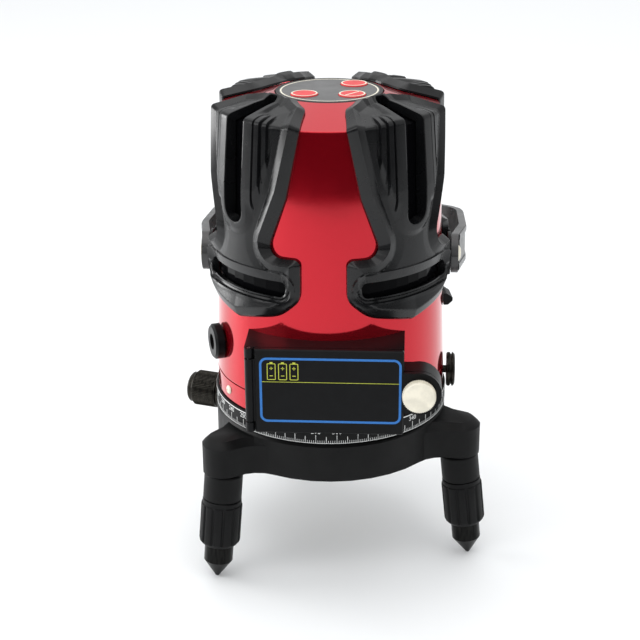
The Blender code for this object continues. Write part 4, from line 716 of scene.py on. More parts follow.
# %% Measures of the skin
shell_low, shell_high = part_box("housing_shell")
SHELL_FOOT = shell_low.z
SHELL_TOP = shell_high.z
FOOT_RADIUS = shell_high.x
SHOULDER_RADIUS = 0.0470
CONE_RISE = 0.0062
TOP_RADIUS = 0.0231
SHELL_WALL = 0.0022
SKIN_REFERENCE = 0.0500
SEAT_GAP = 0.0003
SHOULDER_Z = SHELL_TOP - CONE_RISE
WALL_HEIGHT = SHOULDER_Z - SHELL_FOOT
WALL_RUN = math.hypot(WALL_HEIGHT, FOOT_RADIUS - SHOULDER_RADIUS)
CONE_RUN = math.hypot(CONE_RISE, SHOULDER_RADIUS - TOP_RADIUS)
FOLD_SAMPLES = 7
CORNERS = {"front_left": -135.0, "front_right": -45.0, "rear_right": 45.0, "rear_left": 135.0}


def wall_v(height):
    """v for a height over the foot of the wall."""
    return height / WALL_HEIGHT * WALL_RUN


def cone_v(radius):
    """v for a radius on the cone."""
    return WALL_RUN + (SHOULDER_RADIUS - radius) / (SHOULDER_RADIUS - TOP_RADIUS) * CONE_RUN


def angle_u(degrees):
    """u for an angle from the middle of a corner."""
    return math.radians(degrees) * SKIN_REFERENCE


def skin_line(v):
    """Radius, height and outward normal of the skin at values of v."""
    wall = np.array([WALL_HEIGHT, FOOT_RADIUS - SHOULDER_RADIUS]) / WALL_RUN
    cone = np.array([CONE_RISE, SHOULDER_RADIUS - TOP_RADIUS]) / CONE_RUN
    mitre = (wall + cone) / (1.0 + wall @ cone)
    run = [0.0, WALL_RUN, WALL_RUN + CONE_RUN]
    radius = np.interp(v, run, [FOOT_RADIUS, SHOULDER_RADIUS, TOP_RADIUS])
    level = np.interp(v, run, [SHELL_FOOT, SHOULDER_Z, SHELL_TOP])
    normal_r = np.interp(v, run, [wall[0], mitre[0], cone[0]])
    normal_z = np.interp(v, run, [wall[1], mitre[1], cone[1]])
    return radius, level, normal_r, normal_z


def on_skin(u, v, height, azimuth, soft=0.0):
    """Points of the model for points of the flat drawing; soft rounds the fold at the shoulder."""
    shifts = np.linspace(-soft, soft, FOLD_SAMPLES) if soft else [0.0]
    radius, level, normal_r, normal_z = np.mean([skin_line(v + shift) for shift in shifts], axis=0)
    reach = radius + normal_r * height
    angle = math.radians(azimuth) + u / SKIN_REFERENCE
    return np.stack([reach * np.cos(angle), reach * np.sin(angle), level + normal_z * height], axis=-1)


print("skin: wall", round(WALL_RUN * 1000, 1), "mm, cone", round(CONE_RUN * 1000, 1), "mm")

# %% [markdown]
# ## Housing and band
# The red housing mirrors its surroundings, so facets would show at once. It is spun again with many
# steps. Real openings are then cut for the light slots and the battery tray, with Boolean modifiers,
# because the slots show dark glass and the open door shows the tray.

# %% Cutters
PANE_MARGIN = 0.0020
SLOT_HALF = 0.0049
SLOT_TOP_RADIUS = 0.0285
SLOT_FOOT = 0.0737
LEVEL_ANGLE = 27.6
LEVEL_HEIGHT = 0.0497
LEVEL_OPENING = 0.0066
BOX_LEFT = -0.0325
BOX_RIGHT = 0.0335
CUT_SHARP = 25.0
ARM_STEPS = 10
STEM_STEPS = 4


def wrapped_block(half, low, high, azimuth, steps):
    """A cutter that follows the skin, from inside the wall to outside it."""
    rows = sorted({low, high} | ({WALL_RUN} if low < WALL_RUN < high else set()))
    section = [(v, -3 * SHELL_WALL) for v in rows] + [(v, 2 * SHELL_WALL) for v in reversed(rows)]
    columns = np.linspace(-half, half, steps + 1)
    return lofted("pane_room", [[on_skin(u, v, height, azimuth) for v, height in section] for u in columns])


def box_mesh(low, high):
    """A plain box between two corners."""
    work = bmesh.new()
    bmesh.ops.create_cube(work, size=1.0)
    bmesh.ops.scale(work, vec=Vector(high) - Vector(low), verts=work.verts)
    bmesh.ops.translate(work, vec=(Vector(high) + Vector(low)) / 2, verts=work.verts)
    return meshed("box", work)


def carved(mesh, cutters):
    """A mesh with solids taken away."""
    holder = standing("carved", mesh)
    tools = [standing("cutter", cutter) for cutter in cutters]
    for tool in tools:
        change = holder.modifiers.new("cut", "BOOLEAN")
        change.object = tool
        change.solver = "EXACT"
    return weighted(smooth(carried_out(holder, *tools), CUT_SHARP))


tray_low, tray_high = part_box("battery_tray")
band_low, band_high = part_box("lower_band")
tray_room = [(BOX_LEFT, 2 * tray_low.y, band_low.z - SHELL_WALL), (BOX_RIGHT, tray_high.y, tray_high.z)]
level_v = wall_v(LEVEL_HEIGHT)
arm = angle_u(LEVEL_ANGLE) + PANE_MARGIN
half = LEVEL_OPENING / 2 + PANE_MARGIN
stem = SLOT_HALF + PANE_MARGIN
stem_top = cone_v(SLOT_TOP_RADIUS) + PANE_MARGIN
cutters = [box_mesh(*tray_room)]
for azimuth in CORNERS.values():
    cutters.append(wrapped_block(arm, level_v - half, level_v + half, azimuth, ARM_STEPS))
    cutters.append(wrapped_block(stem, level_v, stem_top, azimuth, STEM_STEPS))
print("cutters:", len(cutters))

# %% Red housing and band
HOUSING_STEPS = 192
HOUSING_EASE = 0.0005
BAND_EASE = 0.0004
housing_profile = [
    (TOP_RADIUS, SHELL_TOP),
    (SHOULDER_RADIUS, SHOULDER_Z),
    (FOOT_RADIUS, SHELL_FOOT),
    (FOOT_RADIUS - SHELL_WALL, SHELL_FOOT),
    (SHOULDER_RADIUS - SHELL_WALL, SHOULDER_Z - SHELL_WALL),
    (TOP_RADIUS, SHELL_TOP - SHELL_WALL),
]
housing = carved(spun("housing", housing_profile, HOUSING_EASE, HOUSING_STEPS), cutters)
piece("red_housing", housing, RED, "turret", ("housing_shell",))
band_profile = [
    (FOOT_RADIUS - SHELL_WALL, band_high.z),
    (FOOT_RADIUS, band_high.z),
    (FOOT_RADIUS, band_low.z),
    (FOOT_RADIUS - SHELL_WALL, band_low.z),
]
band = carved(spun("band", band_profile, BAND_EASE, HOUSING_STEPS), [box_mesh(*tray_room)])
piece("red_band", band, RED, "turret", ("lower_band",))
print("housing:", len(housing.polygons), "faces, band:", len(band.polygons), "faces")

# %% [markdown]
# ## Corner bumpers
# These are the hardest pieces. On the real level each is a rubbery black moulding: a steep flank that
# ends in a rim, whose inner slope catches the light, a hollow face, stepped fins beside the upright
# slot that run out downwards, a brow over the level slot with ledges under it, and a jaw with a crease.
# Boxes and bevels would take dozens of Booleans. Instead the height over the skin is one formula of the
# distances to the outline and to the two slots. A fine grid takes its height from it, its border is
# drawn onto the outlines, and the whole is bent round the skin and closed behind.

# %% Outline, slots and distances
JAW_TIP = 0.0334
JAW_SIDE_ANGLE = 24.0
JAW_SIDE = 0.0380
JAW_SIDE_ROUND = 0.016
JAW_ANGLE = 34.0
JAW_CORNER = 0.0455
JAW_CORNER_ROUND = 0.008
JAW_TOP = 0.0630
JAW_TOP_ROUND = 0.003
NECK_ANGLE = 16.0
NECK_ROUND = 0.005
WAIST_ANGLE = 27.0
WAIST_ROUND = 0.010
LIFT_KINK = 0.0882
SHOULDER_ANGLE = 33.8
CROWN_ANGLE = 30.5
CROWN_RADIUS = 0.0310
END_ANGLE = 16.0
END_RADIUS = 0.0246
CROWN_ROUND = 0.005
bumper_outline = np.array(rounded(mirrored([
    (0.0, wall_v(JAW_TIP), 0.0),
    (angle_u(JAW_SIDE_ANGLE), wall_v(JAW_SIDE), JAW_SIDE_ROUND),
    (angle_u(JAW_ANGLE), wall_v(JAW_CORNER), JAW_CORNER_ROUND),
    (angle_u(JAW_ANGLE), wall_v(JAW_TOP), JAW_TOP_ROUND),
    (angle_u(NECK_ANGLE), wall_v(JAW_TOP), NECK_ROUND),
    (angle_u(WAIST_ANGLE), wall_v(LIFT_KINK), WAIST_ROUND),
    (angle_u(SHOULDER_ANGLE), WALL_RUN, 0.0),
    (angle_u(CROWN_ANGLE), cone_v(CROWN_RADIUS), CROWN_ROUND),
    (angle_u(END_ANGLE), cone_v(END_RADIUS), CROWN_ROUND),
])))
slot_low = wall_v(SLOT_FOOT)
slot_high = cone_v(SLOT_TOP_RADIUS)
upright_slot = np.array(rounded(mirrored([
    (SLOT_HALF, slot_low, SLOT_HALF * 0.97),
    (SLOT_HALF, slot_high, SLOT_HALF / 2),
])))
level_arm = angle_u(LEVEL_ANGLE)
level_half = LEVEL_OPENING / 2
level_slot = np.array(rectangle(
    -level_arm, level_v - level_half, level_arm, level_v + level_half, level_half * 0.8
))


def distance(points, outline):
    """Signed distance from points to an outline, negative inside it."""
    nearest = np.full(len(points), np.inf)
    inside = np.zeros(len(points), bool)
    for start, end in zip(outline, np.roll(outline, -1, axis=0)):
        side = end - start
        offset = points - start
        share = np.clip(offset @ side / (side @ side), 0.0, 1.0)
        nearest = np.minimum(nearest, np.hypot(*(offset - share[:, None] * side).T))
        crosses = (start[1] > points[:, 1]) != (end[1] > points[:, 1])
        if crosses.any():
            edge_x = start[0] + (points[:, 1] - start[1]) * side[0] / side[1]
            inside ^= crosses & (points[:, 0] < edge_x)
    return np.where(inside, -nearest, nearest)


def beyond_material(points):
    """Distance to the moulding's edge: negative in the material, positive outside and in the slots."""
    slots = np.minimum(distance(points, upright_slot), distance(points, level_slot))
    return np.maximum(distance(points, bumper_outline), -slots)


print("bumper outline:", len(bumper_outline), "points; slots:", len(upright_slot) + len(level_slot))

# %% [markdown]
# The height formula works from the outside in: the flank and rim follow the distance to the outline,
# the fins the distance to the upright slot, the brow and ledges the distance to the level slot. The fins
# grow from a low lip at the slot's foot to full height at the kink, and each step of them starts higher
# up than the one before it. Towards the shoulder everything becomes lower, as on the solid.

# %% Height of the moulding over the skin
FACE_HEIGHT = 0.0040
WALL_FOOT = 0.0014
STEEPEST = 2.0
EDGE_DEPTHS = [0.0, 0.0036, 0.0072, 0.0110]
EDGE_HEIGHTS = [WALL_FOOT, 0.0050, FACE_HEIGHT - 0.0010, FACE_HEIGHT - 0.0006]
JAW_DEPTHS = [0.0, 0.0008, 0.0042, 0.0110]
JAW_HEIGHTS = [WALL_FOOT, 0.0030, 0.0047, 0.0032]
JAW_ABOVE_CORNER = 0.001
JAW_BLEND = 0.004
BROW_BELOW_MIDDLE = 0.001
BROW_BLEND = 0.002
LIFT_AT_SHOULDER = 0.72
FIN_LIP = 0.0009
FIN_RISE = 0.0016
FIN_LEAD = 0.006
FIN_FADE = 0.45
FIN_RUNOUT = 0.0772
FIN_RUNOUT_BLEND = 0.007
FIN_STAGGER = 3.3
FIN_CONE_END = 0.0030
FIN_CONE_BLEND = 0.006
FIN_DEPTHS = [
    0.0, 0.0003, 0.0047, 0.0051, 0.0055, 0.0075, 0.0079, 0.0087, 0.0091, 0.0107, 0.0111, 0.0119, 0.0123,
]
FIN_SHARES = [0.90, 1.0, 0.97, 0.40, 0.82, 0.74, 0.10, 0.10, 0.52, 0.44, -0.20, -0.20, 0.0]
LIP_DEPTHS = [0.0, 0.0003, 0.0024, 0.0044]
LIP_SHARES = [0.90, 1.0, 0.90, 0.0]
BROW_DEPTHS = [0.0, 0.0036, 0.0042]
BROW_RISES = [-0.0008, 0.0007, 0.0]
LEDGE_DEPTHS = [0.0, 0.0006, 0.0012, 0.0020, 0.0026, 0.0040]
LEDGE_RISES = [-0.0004, -0.0003, -0.0012, -0.0010, 0.0002, 0.0]
kink_v = wall_v(LIFT_KINK)


def ease_in(value):
    """A smooth step from 0 to 1."""
    share = np.clip(value, 0.0, 1.0)
    return share * share * (3.0 - 2.0 * share)


def mixed(share, first, second):
    """A blend from the second to the first."""
    return share * first + (1.0 - share) * second


def fin_height(away, v):
    """Rise of the fins over the face: stepped above their run-outs, a plain lip below and on the cone."""
    grown = ease_in((v - slot_low + FIN_LEAD) / (kink_v - slot_low))
    fading = 1.0 - FIN_FADE * ease_in((v - WALL_RUN) / (slot_high - WALL_RUN))
    runout = wall_v(FIN_RUNOUT) + np.maximum(away - FIN_DEPTHS[3], 0.0) * FIN_STAGGER
    stepped = ease_in((v - runout) / FIN_RUNOUT_BLEND)
    stepped *= 1.0 - ease_in((v - WALL_RUN - FIN_CONE_END) / FIN_CONE_BLEND)
    steps = np.interp(away, FIN_DEPTHS, FIN_SHARES)
    lip = np.interp(away, LIP_DEPTHS, LIP_SHARES)
    return (FIN_LIP + FIN_RISE * grown) * fading * mixed(stepped, steps, lip)


def bumper_height(points):
    """Height over the skin at points of the flat drawing."""
    v = points[:, 1]
    depth = np.maximum(-distance(points, bumper_outline), 0.0)
    from_upright = np.maximum(distance(points, upright_slot), 0.0)
    from_level = np.maximum(distance(points, level_slot), 0.0)
    jaw = ease_in((wall_v(JAW_CORNER) + JAW_ABOVE_CORNER - v) / JAW_BLEND)
    edge = mixed(jaw, np.interp(depth, JAW_DEPTHS, JAW_HEIGHTS), np.interp(depth, EDGE_DEPTHS, EDGE_HEIGHTS))
    brow = np.interp(from_level, BROW_DEPTHS, BROW_RISES)
    ledge = np.interp(from_level, LEDGE_DEPTHS, LEDGE_RISES)
    rim = mixed(ease_in((v - level_v + BROW_BELOW_MIDDLE) / BROW_BLEND), brow, ledge)
    height = np.minimum(edge + rim + fin_height(from_upright, v), WALL_FOOT + STEEPEST * depth)
    lower = (1.0 - LIFT_AT_SHOULDER) * np.clip((v - kink_v) / (WALL_RUN - kink_v), 0.0, 1.0)
    return SEAT_GAP + (height - SEAT_GAP) * (1.0 - lower)


fin_top = FACE_HEIGHT + FIN_LIP + FIN_RISE
print("bumper height: face", FACE_HEIGHT * 1000, "mm, fins to", round(fin_top * 1000, 1), "mm")

# %% [markdown]
# A plain grid would draw every slanting edge as a staircase. So grid points that lie close to a border
# or to a crease of the formula are first pulled onto it, a few small steps down the slope of the
# distance. Where a crease then crosses a cell from corner to corner, the cell is split along it. The
# edges run clean whatever their direction.

# %% The grid with clean borders and creases
GRID_STEP = 0.0004
GRID_HALF = 0.031
PROBE = GRID_STEP / 20
PULLS = 4
LEAST_SLOPE = 0.25
CREASE_REACH = 0.49 * GRID_STEP
ON_CREASE = GRID_STEP / 40


def from_outline(points):
    """Depth inside the outline."""
    return -distance(points, bumper_outline)


def from_level_slot(points):
    """Distance from the level slot."""
    return distance(points, level_slot)


CREASES = [
    (from_outline, EDGE_DEPTHS[1:3] + JAW_DEPTHS[1:3]),
    (from_level_slot, BROW_DEPTHS[1:] + LEDGE_DEPTHS[1:5]),
]


def pulled_onto(spots, field):
    """Points moved down the slope of a distance field until it is zero."""
    for _ in range(PULLS):
        off = field(spots)
        slope_u = (field(spots + [PROBE, 0.0]) - field(spots - [PROBE, 0.0])) / (2 * PROBE)
        slope_v = (field(spots + [0.0, PROBE]) - field(spots - [0.0, PROBE])) / (2 * PROBE)
        steep = np.maximum(slope_u ** 2 + slope_v ** 2, LEAST_SLOPE)
        spots = spots - np.stack([slope_u, slope_v], axis=-1) * (off / steep)[:, None]
    return spots


def plain_grid():
    """Points of a plain grid over the drawing, and the cells that lie in the material."""
    reach = math.ceil(GRID_HALF / GRID_STEP)
    columns = np.arange(-reach, reach + 1) * GRID_STEP
    down = math.ceil((WALL_RUN - wall_v(JAW_TIP)) / GRID_STEP) + 1
    up = math.ceil((cone_v(END_RADIUS) - WALL_RUN) / GRID_STEP) + 1
    rows = WALL_RUN + np.arange(-down, up + 1) * GRID_STEP
    grid = np.stack(np.meshgrid(columns, rows), axis=-1)
    middles = ((grid[:-1, :-1] + grid[1:, 1:]) / 2).reshape(-1, 2)
    wide = len(columns)
    first = (np.arange(len(rows) - 1)[:, None] * wide + np.arange(wide - 1)[None, :]).ravel()
    cells = np.stack([first, first + 1, first + wide + 1, first + wide], axis=-1)
    return grid.reshape(-1, 2), cells[beyond_material(middles) < 0.0]


def drawn_clean(points, cells):
    """Points pulled onto borders and creases, and each cell's split: 0 for none, 1 or 2 for a diagonal."""
    uses = np.bincount(cells.ravel(), minlength=len(points))
    whole = np.flatnonzero(uses == 4)
    border = np.flatnonzero((uses > 0) & (uses < 4))
    for field, depths in CREASES:
        gaps = field(points[whole])
        for depth in depths:
            near = whole[np.abs(gaps - depth) < CREASE_REACH]
            points[near] = pulled_onto(points[near], lambda spots: field(spots) - depth)
    points[border] = pulled_onto(points[border], beyond_material)
    split = np.zeros(len(cells), int)
    for field, depths in CREASES:
        gaps = field(points)
        for depth in depths:
            on_crease = (np.abs(gaps - depth) < ON_CREASE)[cells]
            split[on_crease[:, 0] & on_crease[:, 2]] = 1
            split[on_crease[:, 1] & on_crease[:, 3]] = 2
    return points, split


grid_points, grid_cells = plain_grid()
grid_points, grid_split = drawn_clean(grid_points, grid_cells)
print("bumper grid:", len(grid_cells), "cells,", np.count_nonzero(grid_split), "of them split along creases")

# %% [markdown]
# The front of the moulding is the grid at its heights. Its back is the same grid just over the skin, and
# a wall joins both round every border. At the foot of the upright slot the back is drawn up a little, so
# that the slot has a sloping floor.

# %% The four mouldings
SHOULDER_SOFTNESS = 0.0014
SLOT_FLOOR = 0.0032
AT_SLOT = GRID_STEP / 10
BUMPER_SHARP = 38.0


def bumper_mesh(points, cells, split, heights, azimuth):
    """The closed moulding, bent round the skin at an azimuth."""
    used = np.unique(cells)
    order = np.full(len(points), -1)
    order[used] = np.arange(len(used))
    u, v = points[used].T
    front = on_skin(u, v, heights[used], azimuth, SHOULDER_SOFTNESS)
    at_slot = np.abs(distance(points[used], upright_slot)) < AT_SLOT
    ramp = at_slot * SLOT_FLOOR * ease_in((slot_low + SLOT_HALF - v) / SLOT_HALF)
    back = on_skin(u, v + ramp, np.full(len(used), SEAT_GAP), azimuth)
    top = order[cells]
    sides = np.concatenate([top[:, [0, 1]], top[:, [1, 2]], top[:, [2, 3]], top[:, [3, 0]]])
    pairs = {tuple(side) for side in sides}
    rim = np.array([side for side in sides if (side[1], side[0]) not in pairs])
    count = len(used)
    walls = np.stack([rim[:, 1], rim[:, 0], rim[:, 0] + count, rim[:, 1] + count], axis=-1)
    rising, falling = top[split == 1], top[split == 2]
    halves = [rising[:, :3], rising[:, [0, 2, 3]], falling[:, [0, 1, 3]], falling[:, 1:]]
    faces = np.concatenate(halves).tolist()
    faces += np.concatenate([top[split == 0], top[:, ::-1] + count, walls]).tolist()
    mesh = bpy.data.meshes.new("bumper")
    mesh.from_pydata(np.concatenate([front, back]).tolist(), [], faces)
    return smooth(mesh, BUMPER_SHARP)


grid_heights = bumper_height(grid_points)
for corner, azimuth in CORNERS.items():
    moulding = bumper_mesh(grid_points, grid_cells, grid_split, grid_heights, azimuth)
    node = "bumper_" + corner
    piece(node + "_moulding", moulding, BUMPER_BLACK, "turret", (node,))
print("bumpers:", len(CORNERS), "mouldings of", len(moulding.polygons), "faces")

# %% [markdown]
# ## Keypad
# The keypad is a grey membrane in a dark rim, with a printed cream ring and three red keys. The lines
# are ink, so they are flat rings a few hundredths of a millimetre thick, which keeps their edges crisp.
# Each key rides on its own body and can be pressed.

# %% Membrane, rings and keys
INK = 0.00005
RING_STEPS = 96
RIM_INNER = 0.0214
CREAM_OUTER = 0.0209
CREAM_INNER = 0.0203
KEY_FLANGE = 0.0006
FLANGE_THICK = 0.0007
KEY_EDGE = 0.0003
KEY_LINE = 0.0006
SLASH_HALF = 0.0003
SLASH_REACH = 0.0044
SLASH_TURN = -38.0
KEYS = ("left", "right", "rear")
PANEL_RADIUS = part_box("keypad_panel")[1].x


def printed_ring(name, outer, inner, place, look, body):
    """A flat printed ring with its own place."""
    ring = flat_ring(name, circle(outer, RING_STEPS), circle(inner, RING_STEPS), INK)
    return piece(name, placed(ring, place), look, body)


keypad_top = Matrix.Translation((0, 0, SHELL_TOP))
softened("keypad_panel", KEYPAD_GREY)
printed_ring("keypad_rim", PANEL_RADIUS, RIM_INNER, keypad_top, BLACK_INK, "turret")
printed_ring("keypad_cream_ring", CREAM_OUTER, CREAM_INNER, keypad_top, CREAM_INK, "turret")
for side in KEYS:
    low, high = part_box("push_key_" + side)
    middle = (low + high) / 2
    flange = (high.x - low.x) / 2
    radius = flange - KEY_FLANGE
    profile = [
        (0.0, high.z), (radius - KEY_EDGE, high.z), (radius, high.z - KEY_EDGE),
        (radius, low.z + FLANGE_THICK), (flange, low.z + FLANGE_THICK), (flange, low.z), (0.0, low.z),
    ]
    place = Matrix.Translation((middle.x, middle.y, 0))
    face = place @ Matrix.Translation((0, 0, high.z))
    body = "key_" + side
    key = placed(spun("key", profile), place)
    piece("red_key_" + side, key, KEY_RED, body, ("push_key_" + side,))
    line = radius - KEY_EDGE
    printed_ring("key_line_" + side, line, line - KEY_LINE, face, CREAM_INK, body)
slash_low, slash_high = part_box("push_key_right")
slash_place = Matrix.Translation((*((slash_low + slash_high) / 2).xy, slash_high.z))
slash = flat_plate("slash", rectangle(-SLASH_HALF, -SLASH_REACH, SLASH_HALF, SLASH_REACH), INK)
piece("key_slash", placed(slash, slash_place @ turned(SLASH_TURN, "Z")), CREAM_INK, "key_right")
print("keypad: radius", round(PANEL_RADIUS * 1000, 1), "mm,", len(KEYS), "keys")

# %% [markdown]
# ## Battery box
# The black battery box is moulded, with small round edges that draw its outline in light. The copies of
# the tray and the door keep the CAD shape and gain that edge. On the door a blue frame line and three
# plain cell outlines with their poles are printed.

# %% Tray, door and frame line
TRAY_EDGE = 0.0004
DOOR_EDGE = 0.00045
FRAME_LEFT = -0.0262
FRAME_RIGHT = 0.0325
FRAME_LOW = 0.0838
FRAME_HIGH = 0.1130
FRAME_LINE = 0.0010
FRAME_CORNER = 0.0032
softened("battery_tray", CASE_BLACK, TRAY_EDGE)
softened("battery_door", CASE_BLACK, DOOR_EDGE)
DOOR_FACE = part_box("battery_door")[0].y
door_place = upright(DOOR_FACE)


def line_frame(left, low, right, high, line, outer_round, inner_round):
    """A printed rectangle of a line's width."""
    outer = rectangle(left, low, right, high, outer_round)
    inner = rectangle(left + line, low + line, right - line, high - line, inner_round)
    return flat_ring("frame", outer, inner, INK)


blue_line = line_frame(
    FRAME_LEFT, FRAME_LOW, FRAME_RIGHT, FRAME_HIGH, FRAME_LINE, FRAME_CORNER, FRAME_CORNER - FRAME_LINE
)
piece("door_frame_line", placed(blue_line, door_place), BLUE_INK, "door")
print("battery box: door face at y =", round(DOOR_FACE * 1000, 1), "mm")

# %% Signs of the three cells
CELLS = 3
CELL_WIDTH = 0.0036
CELL_TALL = 0.0074
CELL_LINE = 0.0003
CELL_ROUND = (0.0005, 0.0002)
CELL_GAP = 0.0011
SIGN_LEFT = FRAME_LEFT + 0.0032
SIGN_LOW = FRAME_HIGH - 0.0026 - CELL_TALL
POLE = 0.0006
POLE_ROUND = 0.0001
STROKE_LONG = 0.0007
STROKE_THIN = 0.00015
# Half lengths along x and y of a sign's strokes, and the share of the cell's height where they lie.
STROKES = [
    (STROKE_LONG, STROKE_THIN, 0.7), (STROKE_THIN, STROKE_LONG, 0.7), (STROKE_LONG, STROKE_THIN, 0.25),
]
RULE_DROP = 0.0010
RULE_LINE = 0.0002
signs = []
for index in range(CELLS):
    left = SIGN_LEFT + index * (CELL_WIDTH + CELL_GAP)
    right = left + CELL_WIDTH
    high = SIGN_LOW + CELL_TALL
    middle = (left + right) / 2
    signs.append(line_frame(left, SIGN_LOW, right, high, CELL_LINE, *CELL_ROUND))
    marks = [rectangle(middle - POLE, high, middle + POLE, high + POLE, POLE_ROUND)]
    for long_x, long_y, share in STROKES:
        level = SIGN_LOW + CELL_TALL * share
        marks.append(rectangle(middle - long_x, level - long_y, middle + long_x, level + long_y))
    signs += [flat_plate("mark", mark, INK) for mark in marks]
rule_low = SIGN_LOW - RULE_DROP
rule = rectangle(FRAME_LEFT + FRAME_LINE, rule_low, FRAME_RIGHT - FRAME_LINE, rule_low + RULE_LINE)
signs.append(flat_plate("rule", rule, INK))
piece("door_signs", placed(joined("signs", signs), door_place), LIME_INK, "door")
print("door signs:", len(signs), "printed marks")

# %% [markdown]
# ## Knobs and the thumb screw
# Three turned pieces are knurled for the fingers: the fine-turning knob, the side knob and the thumb
# screw. Each is spun about its joint's axis, and its ribs come from the round pattern. Heights run
# along the axis, from the joint's place outward.

# %% Tool for knurled pieces
KNOB_STEPS = 72


def rib(height, width, length):
    """A knurl's ridge along Z, sharp outside and run out at both ends."""
    side = width / 2
    half = length / 2
    ends = half - height
    foot = [(-side, -half), (side, -half), (side, half), (-side, half)]
    corners = [(-height, y, z) for y, z in foot] + [(height, 0.0, -ends), (height, 0.0, ends)]
    faces = [(0, 1, 4), (1, 2, 5, 4), (2, 3, 5), (3, 0, 4, 5), (3, 2, 1, 0)]
    mesh = bpy.data.meshes.new("rib")
    mesh.from_pydata(corners, [], faces)
    return mesh


def knurled(name, profile, ease, joint, look, ribs, rings):
    """A turned mesh at a joint, with rings of ribs, each of a length and about a middle height."""
    parts = [spun(name, profile, ease, KNOB_STEPS)]
    for length, middle in rings:
        ridge = rib(ribs["height"], ribs["width"], length)
        parts.append(round_pattern(name + "_ribs", ridge, look, ribs["count"], ribs["radius"], middle))
    return placed(joined(name, parts), joint_place(joint))


print("knurled pieces: spun with", KNOB_STEPS, "steps")

# %% Fine-turning knob, side knob and thumb screw
FINE_GRIP = 0.0080
FINE_NECK = 0.0074
FINE_CAP = 0.0071
FINE_BORE = 0.0028
FINE_FOOT = 0.0004
FINE_END = FINE_FOOT + 0.0150
FINE_TOP = FINE_END + 0.0028
FINE_EASE = 0.0002
FINE_RIBS = {"count": 64, "radius": FINE_GRIP, "height": 0.00028, "width": 0.00074}
fine_profile = [
    (0.0, FINE_TOP), (FINE_CAP - 0.0009, FINE_TOP), (FINE_CAP, FINE_TOP - 0.0008),
    (FINE_CAP, FINE_END + 0.0004), (FINE_GRIP - 0.0004, FINE_END), (FINE_GRIP, FINE_END - 0.0010),
    (FINE_GRIP, FINE_FOOT + 0.0032), (FINE_NECK, FINE_FOOT + 0.0028), (FINE_NECK, FINE_FOOT),
    (FINE_BORE, FINE_FOOT), (FINE_BORE, FINE_END - 0.0006), (0.0, FINE_END - 0.0006),
]
fine_rings = [(0.0112, (FINE_FOOT + 0.0034 + FINE_END) / 2)]
fine_mesh = knurled("fine", fine_profile, FINE_EASE, "fine_knob_spin", DARK_METAL, FINE_RIBS, fine_rings)
piece("fine_turning_knob", fine_mesh, DARK_METAL, "fine_drive", ("fine_knob",))

SIDE_GRIP = 0.0074
SIDE_WAIST = 0.0069
SIDE_DISH = 0.0048
SIDE_SHAFT = 0.0017
SIDE_FOOT = 0.0004
SIDE_TOP = SIDE_FOOT + 0.0038
SIDE_END = -0.0078
SIDE_RIBS = {"count": 60, "radius": SIDE_GRIP, "height": 0.00026, "width": 0.00074}
side_profile = [
    (0.0, SIDE_TOP - 0.0003), (SIDE_DISH, SIDE_TOP - 0.0003), (SIDE_DISH + 0.0004, SIDE_TOP),
    (SIDE_GRIP - 0.0006, SIDE_TOP), (SIDE_GRIP, SIDE_TOP - 0.0006), (SIDE_GRIP, SIDE_FOOT + 0.0024),
    (SIDE_WAIST, SIDE_FOOT + 0.0023), (SIDE_WAIST, SIDE_FOOT + 0.0019), (SIDE_GRIP, SIDE_FOOT + 0.0018),
    (SIDE_GRIP, SIDE_FOOT + 0.0002), (SIDE_GRIP - 0.0003, SIDE_FOOT), (SIDE_SHAFT, SIDE_FOOT),
    (SIDE_SHAFT, SIDE_END), (0.0, SIDE_END),
]
side_rings = [(0.0009, SIDE_FOOT + 0.0028), (0.0015, SIDE_FOOT + 0.0010)]
side_mesh = knurled("side", side_profile, EASE, "side_knob_turn", DARK_METAL, SIDE_RIBS, side_rings)
piece("side_turning_knob", side_mesh, DARK_METAL, "side_knob_body", ("side_knob",))

THUMB_GRIP = 0.0067
THUMB_STEM = 0.0020
THUMB_FOOT = 0.0003
THUMB_TOP = THUMB_FOOT + 0.0040
THUMB_END = -0.0077
THUMB_EASE = 0.0003
THUMB_RIBS = {"count": 54, "radius": THUMB_GRIP, "height": 0.0003, "width": 0.00078}
thumb_profile = [
    (0.0, THUMB_TOP), (THUMB_GRIP - 0.0005, THUMB_TOP), (THUMB_GRIP, THUMB_TOP - 0.0005),
    (THUMB_GRIP, THUMB_FOOT + 0.0004), (THUMB_GRIP - 0.0004, THUMB_FOOT), (THUMB_STEM, THUMB_FOOT),
    (THUMB_STEM, THUMB_END), (0.0, THUMB_END),
]
thumb_rings = [(0.0034, (THUMB_FOOT + THUMB_TOP) / 2)]
thumb_mesh = knurled("thumb", thumb_profile, THUMB_EASE, "thumb_turn", CREAM, THUMB_RIBS, thumb_rings)
piece("thumb_screw_knurled", thumb_mesh, CREAM, "thumb", ("thumb_screw",))
print("knurled pieces: 3 with", len(fine_rings + side_rings + thumb_rings), "rings of ribs")

# %% [markdown]
# ## Socket, port cover and screws of the band
# The socket is a rubber collar with a bore. The port cover is a small wedge, drawn as its side view and
# given its width. The screws of the band have domed heads with a cross recess: one is drawn once, with
# its cross sunk by a Boolean, and the round pattern repeats it.

